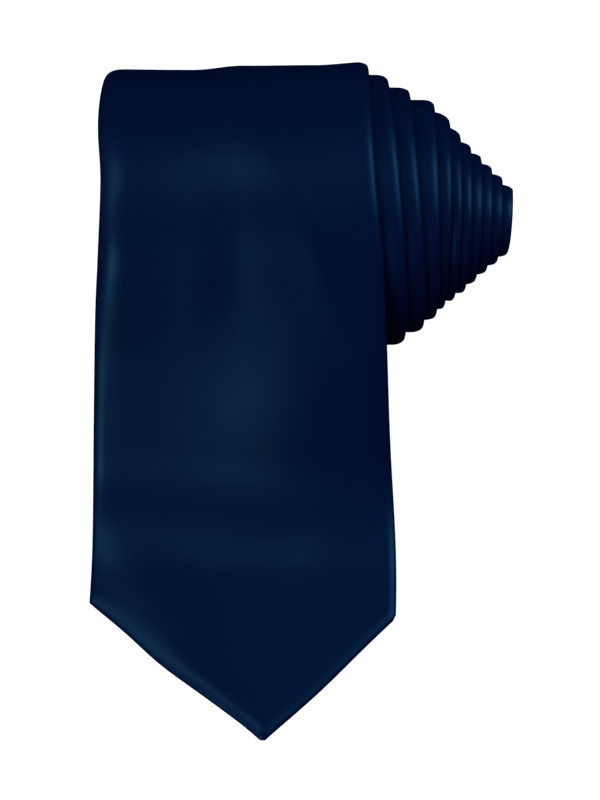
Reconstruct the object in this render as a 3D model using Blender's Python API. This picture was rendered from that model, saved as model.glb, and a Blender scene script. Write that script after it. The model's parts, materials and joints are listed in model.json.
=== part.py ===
"""A satin necktie, rolled up from its narrow end, with the broad blade run out in front.

Every piece is drafted flat, as a tailor lays it out, and is then laid along the rolled
centre line. In the flat draft x runs across the tie, y along it from the blade's tip
and z through its thickness, from the back (-) to the face (+).
The finished tie lies on its roll and its blade: metres, +Z up, X along the roll's axis,
the blade's tip towards -Y, and the origin below the middle of its footprint.
"""

import math
from typing import NamedTuple

import bmesh
import bpy
from mathutils import Matrix, Vector

# Widths and lengths of the tie
BLADE_WIDTH = 0.075  # across the blade's shoulders
NECK_WIDTH = 0.032
TAIL_WIDTH = 0.044
BLADE_TAPER = 0.075  # width lost for each unit of length, well above the shoulders
TAPER_EASE = 0.030  # length over which the taper sets in above the shoulders
TAIL_FLARE = 0.45  # length over which the tail widens again
BLADE_PANEL_LENGTH = 0.700
NECK_PANEL_LENGTH = 0.360

# Points of the blade and the tail
LEFT_SHOULDER = 0.0366  # distance along the tie from the blade's tip
RIGHT_SHOULDER = 0.0318
TIP_OFFSET = 0.0052  # the blade's point lies this far right of its centre
TAIL_SHOULDER = 0.021
BLUNT = 0.0016  # half width of the folded cloth at each point
BLADE_HEM = 0.010
TAIL_HEM = 0.007
MITRE_CORNER = 1.45  # height of the hems' corner at a tip, in hem widths
BLADE_TACK = 0.090  # where the back folds meet, from the blade's tip
TAIL_TACK = 0.055  # the same, from the tail's tip

# The roll
CORE_RADIUS = 0.0058  # hollow in the middle of the roll
TURNS = 10.7
OUTER_PITCH = 0.00334  # from wrap to wrap at the outside of the roll
CORE_PITCH = 0.00223  # the same at its core, where the wraps are pressed together
STEPS_PER_TURN = 20
DEPARTURE_STEPS = 3  # the blade leaves the roll this many steps in front of the top
WIDE_STEP = 0.00475  # sideways step of each wrap of the broad end
WIDE_TURNS = 3.3  # turns before the roll narrows to the neck
NARROW_STEP = 0.0027  # the same for the narrow wraps further in
SWAY = 0.0034  # each broad wrap swings this far to either side of an even helix
SWAY_PHASE = 0.817  # turns from the departure to where a wrap lies furthest right
SWAY_TURNS = 4.0  # the swing has died out after this many turns
SWAY_FADE = 2.2

# The blade between the roll and its tip
FREE_LENGTH = 0.12615  # from the blade's tip to where it leaves the roll
LANDING_RADIUS = 0.036
LANDING_STEPS = 6

# Cloth
WRAP_GAP = 0.00035
SHELL = 0.00045
PLY_GAP = 0.0003
FOLD_CHAMFER = 0.0007
TIPPING = 0.00035
SLIT = 0.0005  # half of the gap between the two back folds
WIDEST_GAP = 0.6  # share of the back that the gap may take near a tip
SEAM_GAP = 0.0012
SEAM_THREAD = 0.0005
THREAD = 0.0004
SPLIT_GAP = 0.0003  # half of the gap where the blade bends at the roll

# Keeper loop, care label and their stitches
KEEPER_LOW = 0.100  # nearest edge, from the blade's tip
KEEPER_HEIGHT = 0.013
KEEPER_WIDTH = 0.042
KEEPER_END = 0.005
KEEPER_BOW = 0.0009  # how far its middle stands off the back
KEEPER_SLOPE = 3.0  # sideways run of the bow's ends, in bows
KEEPER_CLOTH = 0.00045
LABEL_TOP = 0.0975
LABEL_LENGTH = 0.024
LABEL_WIDTH = 0.014
LABEL_X = 0.012
LABEL_CLOTH = 0.0003
TACK_LENGTH = 0.006
TACK_WIDTH = 0.0014
STITCH_HEIGHT = 0.0003
STITCH_WIDTH = 0.0006
RESERVE_LOOP_RADIUS = 0.0035
RESERVE_LOOP_STEPS = 12

# Colours (linear) of the cloth and the thread
NAVY_SATIN = (0.0015, 0.0085, 0.024)
NAVY_LINING = (0.004, 0.010, 0.022)
WOOL = (0.55, 0.52, 0.46)
NAVY_THREAD = (0.004, 0.010, 0.030)
WHITE_TAPE = (0.75, 0.75, 0.72)
SATIN_ROUGHNESS = 0.35
LINING_ROUGHNESS = 0.5
THREAD_ROUGHNESS = 0.6
TAPE_ROUGHNESS = 0.6
WOOL_ROUGHNESS = 0.9

# What follows from the sizes above
THICKNESS = OUTER_PITCH - WRAP_GAP
FACE = THICKNESS / 2
BACK = -THICKNESS / 2
CAVITY = THICKNESS / 2 - SHELL
CORE_PLY = CAVITY - PLY_GAP
CAVITY_INSET = SHELL + FOLD_CHAMFER / 2
STEP_ANGLE = 2 * math.pi / STEPS_PER_TURN
DEPARTURE_ANGLE = DEPARTURE_STEPS * STEP_ANGLE
ON_THE_BACK = BACK - PLY_GAP
MERGE = 1e-6
ON_THE_FREE_BLADE = -1.0  # the turn of each station between the roll and the tip


class Station(NamedTuple):
    """One place on the tie's centre line, seen from the end of the roll."""

    along: float
    turn: float
    y: float
    z: float
    normal_y: float
    normal_z: float
    squeeze: float


def winding_radius(turn):
    """Outer radius of the wrap that lies this many turns past the departure."""
    pitch_drop = (OUTER_PITCH - CORE_PITCH) / TURNS
    built_up = OUTER_PITCH * turn - pitch_drop * turn**2 / 2
    whole = OUTER_PITCH * TURNS - pitch_drop * TURNS**2 / 2
    return CORE_RADIUS + THICKNESS * CORE_PITCH / OUTER_PITCH + whole - built_up


def squeeze_at(turn):
    """Thickness of the wound tie as a share of its thickness at the outside."""
    return 1 - (1 - CORE_PITCH / OUTER_PITCH) * max(turn, 0.0) / TURNS


def roll_stations(axis_height):
    """(turn, y, z, normal) along the roll, from the departure to the tail's tip."""
    found = []
    whole_steps = round(TURNS * STEPS_PER_TURN)
    for step in range(whole_steps + 1):
        turn = step / STEPS_PER_TURN
        angle = step * STEP_ANGLE - DEPARTURE_ANGLE
        normal = (math.sin(angle), math.cos(angle))
        radius = winding_radius(turn) - FACE * squeeze_at(turn)
        found.append((turn, radius * normal[0], axis_height + radius * normal[1], normal))
    return found


def blade_stations(start_y, start_z):
    """(turn, y, z, normal) from the departure out to the blade's tip."""
    lying = THICKNESS / 2
    drop = LANDING_RADIUS * (1 - math.cos(DEPARTURE_ANGLE))
    straight = (start_z - lying - drop) / math.sin(DEPARTURE_ANGLE)
    y = start_y - straight * math.cos(DEPARTURE_ANGLE)
    centre_y = y - LANDING_RADIUS * math.sin(DEPARTURE_ANGLE)
    found = []
    for step in range(LANDING_STEPS + 1):
        angle = DEPARTURE_ANGLE * (1 - step / LANDING_STEPS)
        normal = (-math.sin(angle), math.cos(angle))
        place_y = centre_y + LANDING_RADIUS * math.sin(angle)
        place_z = lying + LANDING_RADIUS * (1 - math.cos(angle))
        found.append((ON_THE_FREE_BLADE, place_y, place_z, normal))
    chord = 2 * LANDING_RADIUS * math.sin(DEPARTURE_ANGLE / LANDING_STEPS / 2)
    flat = FREE_LENGTH - straight - LANDING_STEPS * chord
    found.append((ON_THE_FREE_BLADE, centre_y - flat, lying, (0.0, 1.0)))
    return found


def centre_line():
    """The stations of the whole tie, from the blade's tip to the tail's."""
    lowest = math.pi + DEPARTURE_ANGLE
    axis_height = winding_radius(lowest / (2 * math.pi))
    wound = roll_stations(axis_height)
    free = blade_stations(wound[0][1], wound[0][2])
    stations = []
    along = 0.0
    for turn, y, z, normal in free[::-1] + wound:
        if stations:
            along += math.hypot(y - stations[-1].y, z - stations[-1].z)
        stations.append(Station(along, turn, y, z, *normal, squeeze_at(turn)))
    return stations


LINE = centre_line()
TIE_LENGTH = LINE[-1].along
DEPARTURE = next(station for station in LINE if station.turn == 0.0)


def segment_at(along):
    """The two stations around a place on the tie, and the share of the way between."""
    for before, after in zip(LINE, LINE[1:]):
        if along <= after.along:
            break
    return before, after, (along - before.along) / (after.along - before.along)


def laid(point):
    """Where a point of the flat draft comes to lie once the tie is rolled."""
    before, after, share = segment_at(point.y)
    place = Vector((point.x, 0.0, 0.0))
    for station, weight in ((before, 1 - share), (after, share)):
        lift = point.z * station.squeeze
        place.y += weight * (station.y + lift * station.normal_y)
        place.z += weight * (station.z + lift * station.normal_z)
    return place


def turn_at(along):
    """Turns past the departure, or 0 on the free blade."""
    before, after, share = segment_at(along)
    return max(before.turn, 0.0) * (1 - share) + max(after.turn, 0.0) * share


def width_at(along):
    """Full width of the tie, leaving out its two points."""
    above = max(along - max(LEFT_SHOULDER, RIGHT_SHOULDER), 0.0)
    blade = BLADE_WIDTH - BLADE_TAPER * (math.hypot(above, TAPER_EASE) - TAPER_EASE)
    flare_start = TIE_LENGTH - TAIL_SHOULDER - TAIL_FLARE
    flare = min(max((along - flare_start) / TAIL_FLARE, 0.0), 1.0)
    return max(blade, NECK_WIDTH + (TAIL_WIDTH - NECK_WIDTH) * flare)


def sway_at(turn):
    """Sideways swing of a wrap from an even helix."""
    fade = min(max((SWAY_TURNS - turn) / SWAY_FADE, 0.0), 1.0)
    return SWAY * fade * math.cos(2 * math.pi * (turn - SWAY_PHASE))


def middle_at(along):
    """Sideways place of the tie's centre line."""
    if along <= DEPARTURE.along:
        return 0.0
    turn = turn_at(along)
    stepped = WIDE_STEP * min(turn, WIDE_TURNS) + NARROW_STEP * max(turn - WIDE_TURNS, 0.0)
    right_edge = width_at(DEPARTURE.along) / 2 + stepped + sway_at(turn) - sway_at(0.0)
    return right_edge - width_at(along) / 2


def edge_at(side, along, inset=0.0):
    """Sideways place of the left (-1) or right (+1) edge, drawn in by an inset."""
    middle = middle_at(along)
    lines = [middle + side * (width_at(along) / 2 - inset)]
    shoulder = RIGHT_SHOULDER if side > 0 else LEFT_SHOULDER
    tail_middle = middle_at(TIE_LENGTH)
    points = (
        (TIP_OFFSET, side * BLADE_WIDTH / 2, shoulder, along),
        (tail_middle, tail_middle + side * TAIL_WIDTH / 2, TAIL_SHOULDER, TIE_LENGTH - along),
    )
    for tip_x, shoulder_x, reach, distance in points:
        start = tip_x + side * BLUNT
        slope = (shoulder_x - start) / reach
        lines.append(start + slope * distance - side * inset * math.hypot(1.0, slope))
    return min(lines) if side > 0 else max(lines)


def opening_at(along):
    """Half width of the gap between the back folds, which opens towards each tip."""
    half = (edge_at(1, along, CAVITY_INSET) - edge_at(-1, along, CAVITY_INSET)) / 2
    gap = SLIT
    ends = (
        (along, BLADE_HEM, BLADE_WIDTH, BLADE_TACK, RIGHT_SHOULDER),
        (TIE_LENGTH - along, TAIL_HEM, TAIL_WIDTH, TAIL_TACK, TAIL_SHOULDER),
    )
    for distance, hem, width, tack, shoulder in ends:
        rise = (width / 2) / shoulder
        mitre = rise * distance - hem * math.hypot(1.0, rise)
        top = shoulder + hem
        fall = (width / 2 - hem) * (tack - distance) / (tack - top)
        gap = max(gap, min(mitre, width / 2 - hem, fall))
    return min(gap, WIDEST_GAP * half)


def rows_between(start, end, extra=()):
    """Places for the rows of a draft: its ends, each station and each extra one."""
    inner = [s.along for s in LINE] + list(extra)
    rows = [start]
    for along in sorted(a for a in inner if start + PLY_GAP < a < end - PLY_GAP):
        if along - rows[-1] > PLY_GAP:
            rows.append(along)
    return rows + [end]


def swept(rows, section):
    """A closed flat draft through a section, a ring of (x, z), at each row."""
    draft = bmesh.new()
    rings = []
    for along in rows:
        rings.append([draft.verts.new((x, along, z)) for x, z in section(along)])
    for first, second in zip(rings, rings[1:]):
        for i in range(len(first)):
            j = (i + 1) % len(first)
            draft.faces.new((first[i], first[j], second[j], second[i]))
    draft.faces.new(rings[0][::-1])
    draft.faces.new(rings[-1])
    return draft


def cut_at_stations(draft, low, high):
    """Splits the draft's faces at each station, so that they bend there."""
    for station in LINE:
        if low < station.along < high:
            everything = draft.verts[:] + draft.edges[:] + draft.faces[:]
            bmesh.ops.bisect_plane(
                draft,
                geom=everything,
                dist=MERGE,
                plane_co=(0.0, station.along, 0.0),
                plane_no=(0.0, 1.0, 0.0),
            )


def cut_diagonally(draft, along, keep):
    """Trims the draft to a 45 degree seam, keeping its blade (-1) or tail (+1) side."""
    middle = middle_at(along)
    normal = Vector((1.0, 1.0, 0.0)).normalized() * -keep
    place = Vector((middle, along, 0.0)) - normal * SEAM_GAP / 2
    everything = draft.verts[:] + draft.edges[:] + draft.faces[:]
    cut = bmesh.ops.bisect_plane(
        draft, geom=everything, dist=MERGE, plane_co=place, plane_no=normal, clear_outer=True
    )
    rim = [item for item in cut["geom_cut"] if isinstance(item, bmesh.types.BMEdge)]
    bmesh.ops.triangle_fill(draft, use_beauty=True, edges=rim, normal=normal)
    reach = width_at(along)
    cut_at_stations(draft, along - reach, along + reach)


def box_draft(x, y, z):
    """A flat box between the ends given for each direction."""
    draft = bmesh.new()
    bmesh.ops.create_cube(draft, size=1.0)
    size = Vector((x[1] - x[0], y[1] - y[0], z[1] - z[0]))
    bmesh.ops.scale(draft, vec=size, verts=draft.verts)
    centre = Vector((x[0] + x[1], y[0] + y[1], z[0] + z[1])) / 2
    bmesh.ops.translate(draft, vec=centre, verts=draft.verts)
    return draft


def shell_section(along):
    """The satin folded round the core: a flat tube, slit along the middle of its back."""
    gap = opening_at(along)
    middle = (edge_at(1, along) + edge_at(-1, along)) / 2
    ring = []
    for side in (1, -1):
        fold = edge_at(side, along)
        shoulder = edge_at(side, along, FOLD_CHAMFER)
        inner = edge_at(side, along, CAVITY_INSET)
        half = [
            (middle + side * gap, -CAVITY),
            (inner, -CAVITY),
            (inner, CAVITY),
        ]
        outer = [
            (shoulder, FACE),
            (fold, FACE - FOLD_CHAMFER),
            (fold, BACK + FOLD_CHAMFER),
            (shoulder, BACK),
            (middle + side * gap, BACK),
        ]
        ring.append((half, outer))
    (right_in, right_out), (left_in, left_out) = ring
    return right_out + right_in + left_in[::-1] + left_out[::-1]


def shell_draft(start, end):
    """The folded satin between two places, with rows where its outline turns."""
    corners = (
        BLADE_HEM * MITRE_CORNER,
        RIGHT_SHOULDER,
        LEFT_SHOULDER,
        RIGHT_SHOULDER + BLADE_HEM,
        BLADE_TACK,
        TIE_LENGTH - TAIL_TACK,
        TIE_LENGTH - TAIL_SHOULDER - TAIL_HEM,
        TIE_LENGTH - TAIL_SHOULDER,
        TIE_LENGTH - TAIL_HEM * MITRE_CORNER,
    )
    return swept(rows_between(start, end, corners), shell_section)


def ply_draft(start, end, inset, low, high):
    """A flat ply of cloth inside the folds; low and high give its faces at each row."""

    def section(along):
        left, right = edge_at(-1, along, inset), edge_at(1, along, inset)
        bottom, top = low(along), high(along)
        return [(left, bottom), (right, bottom), (right, top), (left, top)]

    corners = (
        RIGHT_SHOULDER,
        LEFT_SHOULDER,
        TIE_LENGTH - TAIL_TACK - 2 * PLY_GAP,
        TIE_LENGTH - TAIL_TACK,
        TIE_LENGTH - TAIL_SHOULDER,
    )
    return swept(rows_between(start, end, corners), section)


def core_back_at(along):
    """The core is thinner at the tips, where the tipping lies behind it."""
    on_blade = along <= DEPARTURE.along
    in_tail = along >= TIE_LENGTH - TAIL_TACK - PLY_GAP
    return 0.0 if on_blade or in_tail else -CORE_PLY


def slit_thread_draft(start, end):
    """The slip stitch, which runs in the gap between the back folds."""

    def section(along):
        middle = middle_at(along)
        left, right = middle - THREAD / 2, middle + THREAD / 2
        low, high = BACK + MERGE, BACK + SHELL
        return [(left, low), (right, low), (right, high), (left, high)]

    return swept(rows_between(start, end), section)


def seam_draft(along):
    """The stitched ridge of a diagonal seam, across the face of the tie."""
    reach = (width_at(along) / 2 - CAVITY_INSET) * math.sqrt(2)
    draft = box_draft((-reach, reach), (-SEAM_THREAD / 2, SEAM_THREAD / 2), (CAVITY, FACE))
    turn = Matrix.Rotation(-math.pi / 4, 4, "Z")
    place = Matrix.Translation((middle_at(along), along, 0.0))
    bmesh.ops.transform(draft, matrix=place @ turn, verts=draft.verts)
    cut_at_stations(draft, along - reach, along + reach)
    return draft


def keeper_draft():
    """The keeper loop: its ends lie on the back and its middle stands off for the tail."""
    half = KEEPER_WIDTH / 2
    upper, bowed = ON_THE_BACK, ON_THE_BACK - KEEPER_BOW
    rise = half - KEEPER_END - KEEPER_SLOPE * KEEPER_BOW
    inner = [(-half, upper), (-half + KEEPER_END, upper), (-rise, bowed)]
    inner += [(-x, z) for x, z in inner[::-1]]
    outer = [(x, z - KEEPER_CLOTH) for x, z in inner[::-1]]
    rows = rows_between(KEEPER_LOW, KEEPER_LOW + KEEPER_HEIGHT)
    return swept(rows, lambda along: inner + outer)


def keeper_stitch_draft(side):
    """The stitches of the keeper loop's left (-1) or right (+1) end."""
    x = side * (KEEPER_WIDTH / 2 - KEEPER_END / 2)
    low = ON_THE_BACK - KEEPER_CLOTH - PLY_GAP / 2
    return box_draft(
        (x - STITCH_WIDTH / 2, x + STITCH_WIDTH / 2),
        (KEEPER_LOW + STITCH_WIDTH, KEEPER_LOW + KEEPER_HEIGHT - STITCH_WIDTH),
        (low - STITCH_HEIGHT, low),
    )


def tack_draft(along):
    """A bar tack across the two back folds, with its shank in the gap between them."""
    half, shank = TACK_LENGTH / 2, THREAD / 2
    top, base = ON_THE_BACK + PLY_GAP / 2, ON_THE_BACK - STITCH_HEIGHT
    ring = [
        (-half, base),
        (half, base),
        (half, top),
        (shank, top),
        (shank, -CAVITY),
        (-shank, -CAVITY),
        (-shank, top),
        (-half, top),
    ]
    return swept([along, along + TACK_WIDTH], lambda _: ring)


def tail_tack_draft():
    """The tail's bar tack, pressed into the gap between the folds inside the roll."""
    start = TIE_LENGTH - TAIL_TACK - TACK_LENGTH
    return slit_thread_draft(start, start + TACK_LENGTH)


def label_draft():
    """The blank care label, a piece of tape that hangs from its upper edge."""
    low = ON_THE_BACK - LABEL_CLOTH
    start, end = LABEL_TOP - LABEL_LENGTH, LABEL_TOP
    draft = box_draft(
        (LABEL_X - LABEL_WIDTH / 2, LABEL_X + LABEL_WIDTH / 2),
        (start, end),
        (low, ON_THE_BACK),
    )
    cut_at_stations(draft, start, end)
    return draft


def label_stitch_draft():
    """The row of stitches that holds the label's upper edge, on the blade's back."""
    half = LABEL_WIDTH / 2
    low = ON_THE_BACK
    start = LABEL_TOP + PLY_GAP
    return box_draft(
        (LABEL_X - half, LABEL_X + half),
        (start, start + STITCH_WIDTH),
        (low, low + PLY_GAP / 2),
    )


def reserve_loop_draft():
    """The slack end of the slip stitch, a thread loop on the tipping below the tack."""
    draft = bmesh.new()
    centre_y = BLADE_TACK - 2 * RESERVE_LOOP_RADIUS - 2 * TACK_WIDTH
    centre = Vector((0.0, centre_y, BACK + THREAD / 2))
    ring = []
    for dx, dz in ((-1, -1), (1, -1), (1, 1), (-1, 1)):
        place = centre + Vector((RESERVE_LOOP_RADIUS + dx * THREAD / 2, 0.0, dz * THREAD / 2))
        ring.append(draft.verts.new(place))
    edges = [draft.edges.new((ring[i], ring[(i + 1) % 4])) for i in range(4)]
    bmesh.ops.spin(
        draft,
        geom=ring + edges,
        cent=centre,
        axis=(0.0, 0.0, 1.0),
        angle=2 * math.pi,
        steps=RESERVE_LOOP_STEPS,
        use_merge=True,
    )
    return draft


def make_material(name, colour, roughness):
    """A plain material of one colour and roughness."""
    material = bpy.data.materials.new(name)
    material.use_nodes = True
    shader = material.node_tree.nodes["Principled BSDF"]
    shader.inputs["Base Color"].default_value = (*colour, 1.0)
    shader.inputs["Roughness"].default_value = roughness
    shader.inputs["Metallic"].default_value = 0.0
    return material


def make_object(name, draft, colour, roughness):
    """Lays a flat draft along the tie and gives it an object and a material."""
    for vertex in draft.verts:
        vertex.co = laid(vertex.co)
    bmesh.ops.remove_doubles(draft, verts=draft.verts, dist=MERGE)
    bmesh.ops.recalc_face_normals(draft, faces=draft.faces)
    mesh = bpy.data.meshes.new(name)
    draft.to_mesh(mesh)
    draft.free()
    mesh.materials.append(make_material(name, colour, roughness))
    piece = bpy.data.objects.new(name, mesh)
    bpy.context.scene.collection.objects.link(piece)
    return piece


def make_wound_pieces():
    """Everything that stays in the roll."""
    start = DEPARTURE.along + SPLIT_GAP
    first_seam = BLADE_PANEL_LENGTH
    second_seam = BLADE_PANEL_LENGTH + NECK_PANEL_LENGTH
    slack = NECK_WIDTH
    blade = shell_draft(start, first_seam + slack)
    cut_diagonally(blade, first_seam, -1)
    neck = shell_draft(first_seam - slack, second_seam + slack)
    cut_diagonally(neck, first_seam, 1)
    cut_diagonally(neck, second_seam, -1)
    tail = shell_draft(second_seam - slack, TIE_LENGTH)
    cut_diagonally(tail, second_seam, 1)
    core_inset = CAVITY_INSET + PLY_GAP
    core = ply_draft(
        start, TIE_LENGTH - 2 * BLUNT, core_inset, core_back_at, lambda _: CORE_PLY
    )
    tail_tipping = ply_draft(
        TIE_LENGTH - TAIL_TACK,
        TIE_LENGTH - 2 * BLUNT,
        core_inset,
        lambda _: -PLY_GAP - TIPPING,
        lambda _: -PLY_GAP,
    )
    thread_end = TIE_LENGTH - TAIL_TACK - TACK_LENGTH - PLY_GAP
    return [
        make_object("blade_shell_wound", blade, NAVY_SATIN, SATIN_ROUGHNESS),
        make_object("neck_shell", neck, NAVY_SATIN, SATIN_ROUGHNESS),
        make_object("tail_shell", tail, NAVY_SATIN, SATIN_ROUGHNESS),
        make_object("interlining_wound", core, WOOL, WOOL_ROUGHNESS),
        make_object("tail_tipping", tail_tipping, NAVY_LINING, LINING_ROUGHNESS),
        make_object("blade_neck_seam", seam_draft(first_seam), NAVY_THREAD, THREAD_ROUGHNESS),
        make_object("neck_tail_seam", seam_draft(second_seam), NAVY_THREAD, THREAD_ROUGHNESS),
        make_object("slip_stitch_wound", slit_thread_draft(start, thread_end), NAVY_THREAD, THREAD_ROUGHNESS),
        make_object("tail_bar_tack", tail_tack_draft(), NAVY_THREAD, THREAD_ROUGHNESS),
    ]


def make_blade_pieces():
    """Everything that lifts with the free end of the blade."""
    end = DEPARTURE.along - SPLIT_GAP
    core_inset = CAVITY_INSET + PLY_GAP
    core = ply_draft(2 * BLUNT, end, core_inset, core_back_at, lambda _: CORE_PLY)
    tipping = ply_draft(
        2 * BLUNT,
        KEEPER_LOW + KEEPER_HEIGHT,
        core_inset,
        lambda _: -PLY_GAP - TIPPING,
        lambda _: -PLY_GAP,
    )
    thread_start = BLADE_TACK + TACK_WIDTH + PLY_GAP
    return [
        make_object("blade_shell_end", shell_draft(0.0, end), NAVY_SATIN, SATIN_ROUGHNESS),
        make_object("interlining_end", core, WOOL, WOOL_ROUGHNESS),
        make_object("blade_tipping", tipping, NAVY_LINING, LINING_ROUGHNESS),
        make_object("slip_stitch_end", slit_thread_draft(thread_start, end), NAVY_THREAD, THREAD_ROUGHNESS),
        make_object("slip_stitch_reserve_loop", reserve_loop_draft(), NAVY_THREAD, THREAD_ROUGHNESS),
        make_object("blade_bar_tack", tack_draft(BLADE_TACK), NAVY_THREAD, THREAD_ROUGHNESS),
        make_object("keeper_loop", keeper_draft(), NAVY_SATIN, SATIN_ROUGHNESS),
        make_object("keeper_stitches_left", keeper_stitch_draft(-1), NAVY_THREAD, THREAD_ROUGHNESS),
        make_object("keeper_stitches_right", keeper_stitch_draft(1), NAVY_THREAD, THREAD_ROUGHNESS),
        make_object("care_label_stitches", label_stitch_draft(), NAVY_THREAD, THREAD_ROUGHNESS),
    ]


def hang_on_pivot(name, pivot, pieces):
    """Parents pieces to an empty on their joint's axis, leaving them where they lie."""
    empty = bpy.data.objects.new(name, None)
    empty.location = pivot
    bpy.context.scene.collection.objects.link(empty)
    for piece in pieces:
        piece.data.transform(Matrix.Translation(-pivot))
        piece.parent = empty
    return empty


def centre_over_footprint(pieces):
    """Moves the drafted tie so that the origin lies below the middle of its footprint."""
    points = [vertex.co for piece in pieces for vertex in piece.data.vertices]
    shift = Vector((0.0, 0.0, -min(point.z for point in points)))
    for axis in (0, 1):
        values = [point[axis] for point in points]
        shift[axis] = -(min(values) + max(values)) / 2
    for piece in pieces:
        piece.data.transform(Matrix.Translation(shift))
    return shift


def main():
    """Builds the tie and hangs its two moving parts on their axes."""
    for leftover in list(bpy.data.objects):
        bpy.data.objects.remove(leftover, do_unlink=True)
    wound = make_wound_pieces()
    blade = make_blade_pieces()
    label = [make_object("care_label", label_draft(), WHITE_TAPE, TAPE_ROUGHNESS)]
    shift = centre_over_footprint(wound + blade + label)
    blade_axis = laid(Vector((0.0, DEPARTURE.along, FACE))) + shift
    label_axis = laid(Vector((LABEL_X, LABEL_TOP, ON_THE_BACK))) + shift
    hang_on_pivot("blade_lift_axis", blade_axis, blade)
    hang_on_pivot("care_label_axis", label_axis, label)


main()
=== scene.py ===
"""A navy satin necktie, rolled up from its narrow end, with the broad blade run out in front.

Every piece of cloth and thread is drawn flat, as a tailor lays it out: x across the
tie, along from the blade's tip and z through its thickness, from the back to the face.
Each point is then laid along the rolled centre line of the finished tie.
"""

import json
import logging
import math
from bisect import bisect_right
from dataclasses import dataclass, field
from enum import Enum
from functools import cached_property
from typing import Callable, Sequence

import bmesh
import bpy
import numpy as np
from mathutils import Matrix, Vector


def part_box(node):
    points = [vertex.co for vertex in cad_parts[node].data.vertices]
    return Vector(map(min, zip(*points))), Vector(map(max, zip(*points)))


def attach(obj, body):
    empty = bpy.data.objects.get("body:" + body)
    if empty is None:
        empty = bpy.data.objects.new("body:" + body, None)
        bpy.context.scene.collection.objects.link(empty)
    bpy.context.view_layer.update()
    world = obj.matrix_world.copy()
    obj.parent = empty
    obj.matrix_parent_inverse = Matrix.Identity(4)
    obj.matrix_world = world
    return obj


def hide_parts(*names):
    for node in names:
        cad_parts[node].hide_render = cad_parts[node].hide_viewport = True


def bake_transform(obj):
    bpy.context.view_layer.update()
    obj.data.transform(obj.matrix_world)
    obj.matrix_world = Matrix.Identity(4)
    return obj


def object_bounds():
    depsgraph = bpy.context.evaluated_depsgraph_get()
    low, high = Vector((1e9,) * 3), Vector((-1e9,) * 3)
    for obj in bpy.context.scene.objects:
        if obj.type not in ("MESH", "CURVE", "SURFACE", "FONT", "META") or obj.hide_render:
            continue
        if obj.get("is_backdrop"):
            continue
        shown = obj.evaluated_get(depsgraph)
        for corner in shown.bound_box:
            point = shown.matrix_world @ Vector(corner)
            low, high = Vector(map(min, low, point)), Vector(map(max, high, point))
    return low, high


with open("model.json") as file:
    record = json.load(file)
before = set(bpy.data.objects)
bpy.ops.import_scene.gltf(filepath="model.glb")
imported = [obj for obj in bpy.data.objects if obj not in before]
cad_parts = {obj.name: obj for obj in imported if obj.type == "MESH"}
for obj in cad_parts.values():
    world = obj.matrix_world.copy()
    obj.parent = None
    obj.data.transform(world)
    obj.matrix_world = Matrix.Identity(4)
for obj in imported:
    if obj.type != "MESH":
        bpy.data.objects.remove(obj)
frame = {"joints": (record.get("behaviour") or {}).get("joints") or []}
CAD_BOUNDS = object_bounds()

LOG = logging.getLogger("necktie")
MM = 0.001
WAVE_PERIOD = 0.314  # length after which a wave texture of scale 1 repeats
CLOSEST_ROWS = 0.1 * MM


class Body(Enum):
    """The moving parts of the tie."""

    ROLL = "roll"
    BLADE = "blade"
    LABEL = "care_label"


class Side(Enum):
    """The two long folds of the tie, seen from its face with the tip down."""

    LEFT = -1
    RIGHT = 1


class Layer(Enum):
    """The faces of the folded satin: outside and inside, at the tie's face and back."""

    FACE = 1
    BACK = 2
    INSIDE_FACE = 3
    INSIDE_BACK = 4


# ---------------------------------------------------------------- small helpers


def linear(colour: str) -> tuple[float, float, float, float]:
    """Turns an sRGB hex colour into linear light.

    Args:
        colour: six hex digits, such as "0b1f3a".

    Returns:
        Red, green, blue and an alpha of 1.
    """
    channels = []
    for i in (0, 2, 4):
        value = int(colour[i : i + 2], 16) / 255
        channels.append(value / 12.92 if value <= 0.04045 else ((value + 0.055) / 1.055) ** 2.4)
    return (channels[0], channels[1], channels[2], 1.0)


def ease(value: float) -> float:
    """A smooth step from 0 to 1, level at both ends."""
    share = min(max(value, 0.0), 1.0)
    return share * share * (3 - 2 * share)


def hill(distance: float, reach: float) -> float:
    """A smooth hump of height 1 that fades out at about twice its reach."""
    return math.exp(-((distance / reach) ** 2))


def add_node(
    tree: bpy.types.NodeTree,
    kind: str,
    settings: dict[str, object] | None = None,
    values: dict[str, object] | None = None,
    links: dict[str, bpy.types.NodeSocket] | None = None,
) -> bpy.types.Node:
    """Adds a shader node with its settings, socket values and incoming links.

    Args:
        tree: the material's node tree.
        kind: the node's type name.
        settings: attributes of the node itself.
        values: default values by socket name.
        links: sockets that feed this node, by the name of the socket they feed.

    Returns:
        The new node.
    """
    node = tree.nodes.new(kind)
    for name, value in (settings or {}).items():
        setattr(node, name, value)
    for name, value in (values or {}).items():
        node.inputs[name].default_value = value
    for name, source in (links or {}).items():
        tree.links.new(source, node.inputs[name])
    return node


def new_material(name: str) -> tuple[bpy.types.Material, bpy.types.NodeTree, bpy.types.Node]:
    """An empty material with its Principled shader, ready to be linked up.

    Args:
        name: name of the material.

    Returns:
        The material, its node tree and its Principled shader.
    """
    material = bpy.data.materials.new(name)
    material.use_nodes = True
    return material, material.node_tree, material.node_tree.nodes["Principled BSDF"]


# ---------------------------------------------------------------- the rolled centre line


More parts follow.
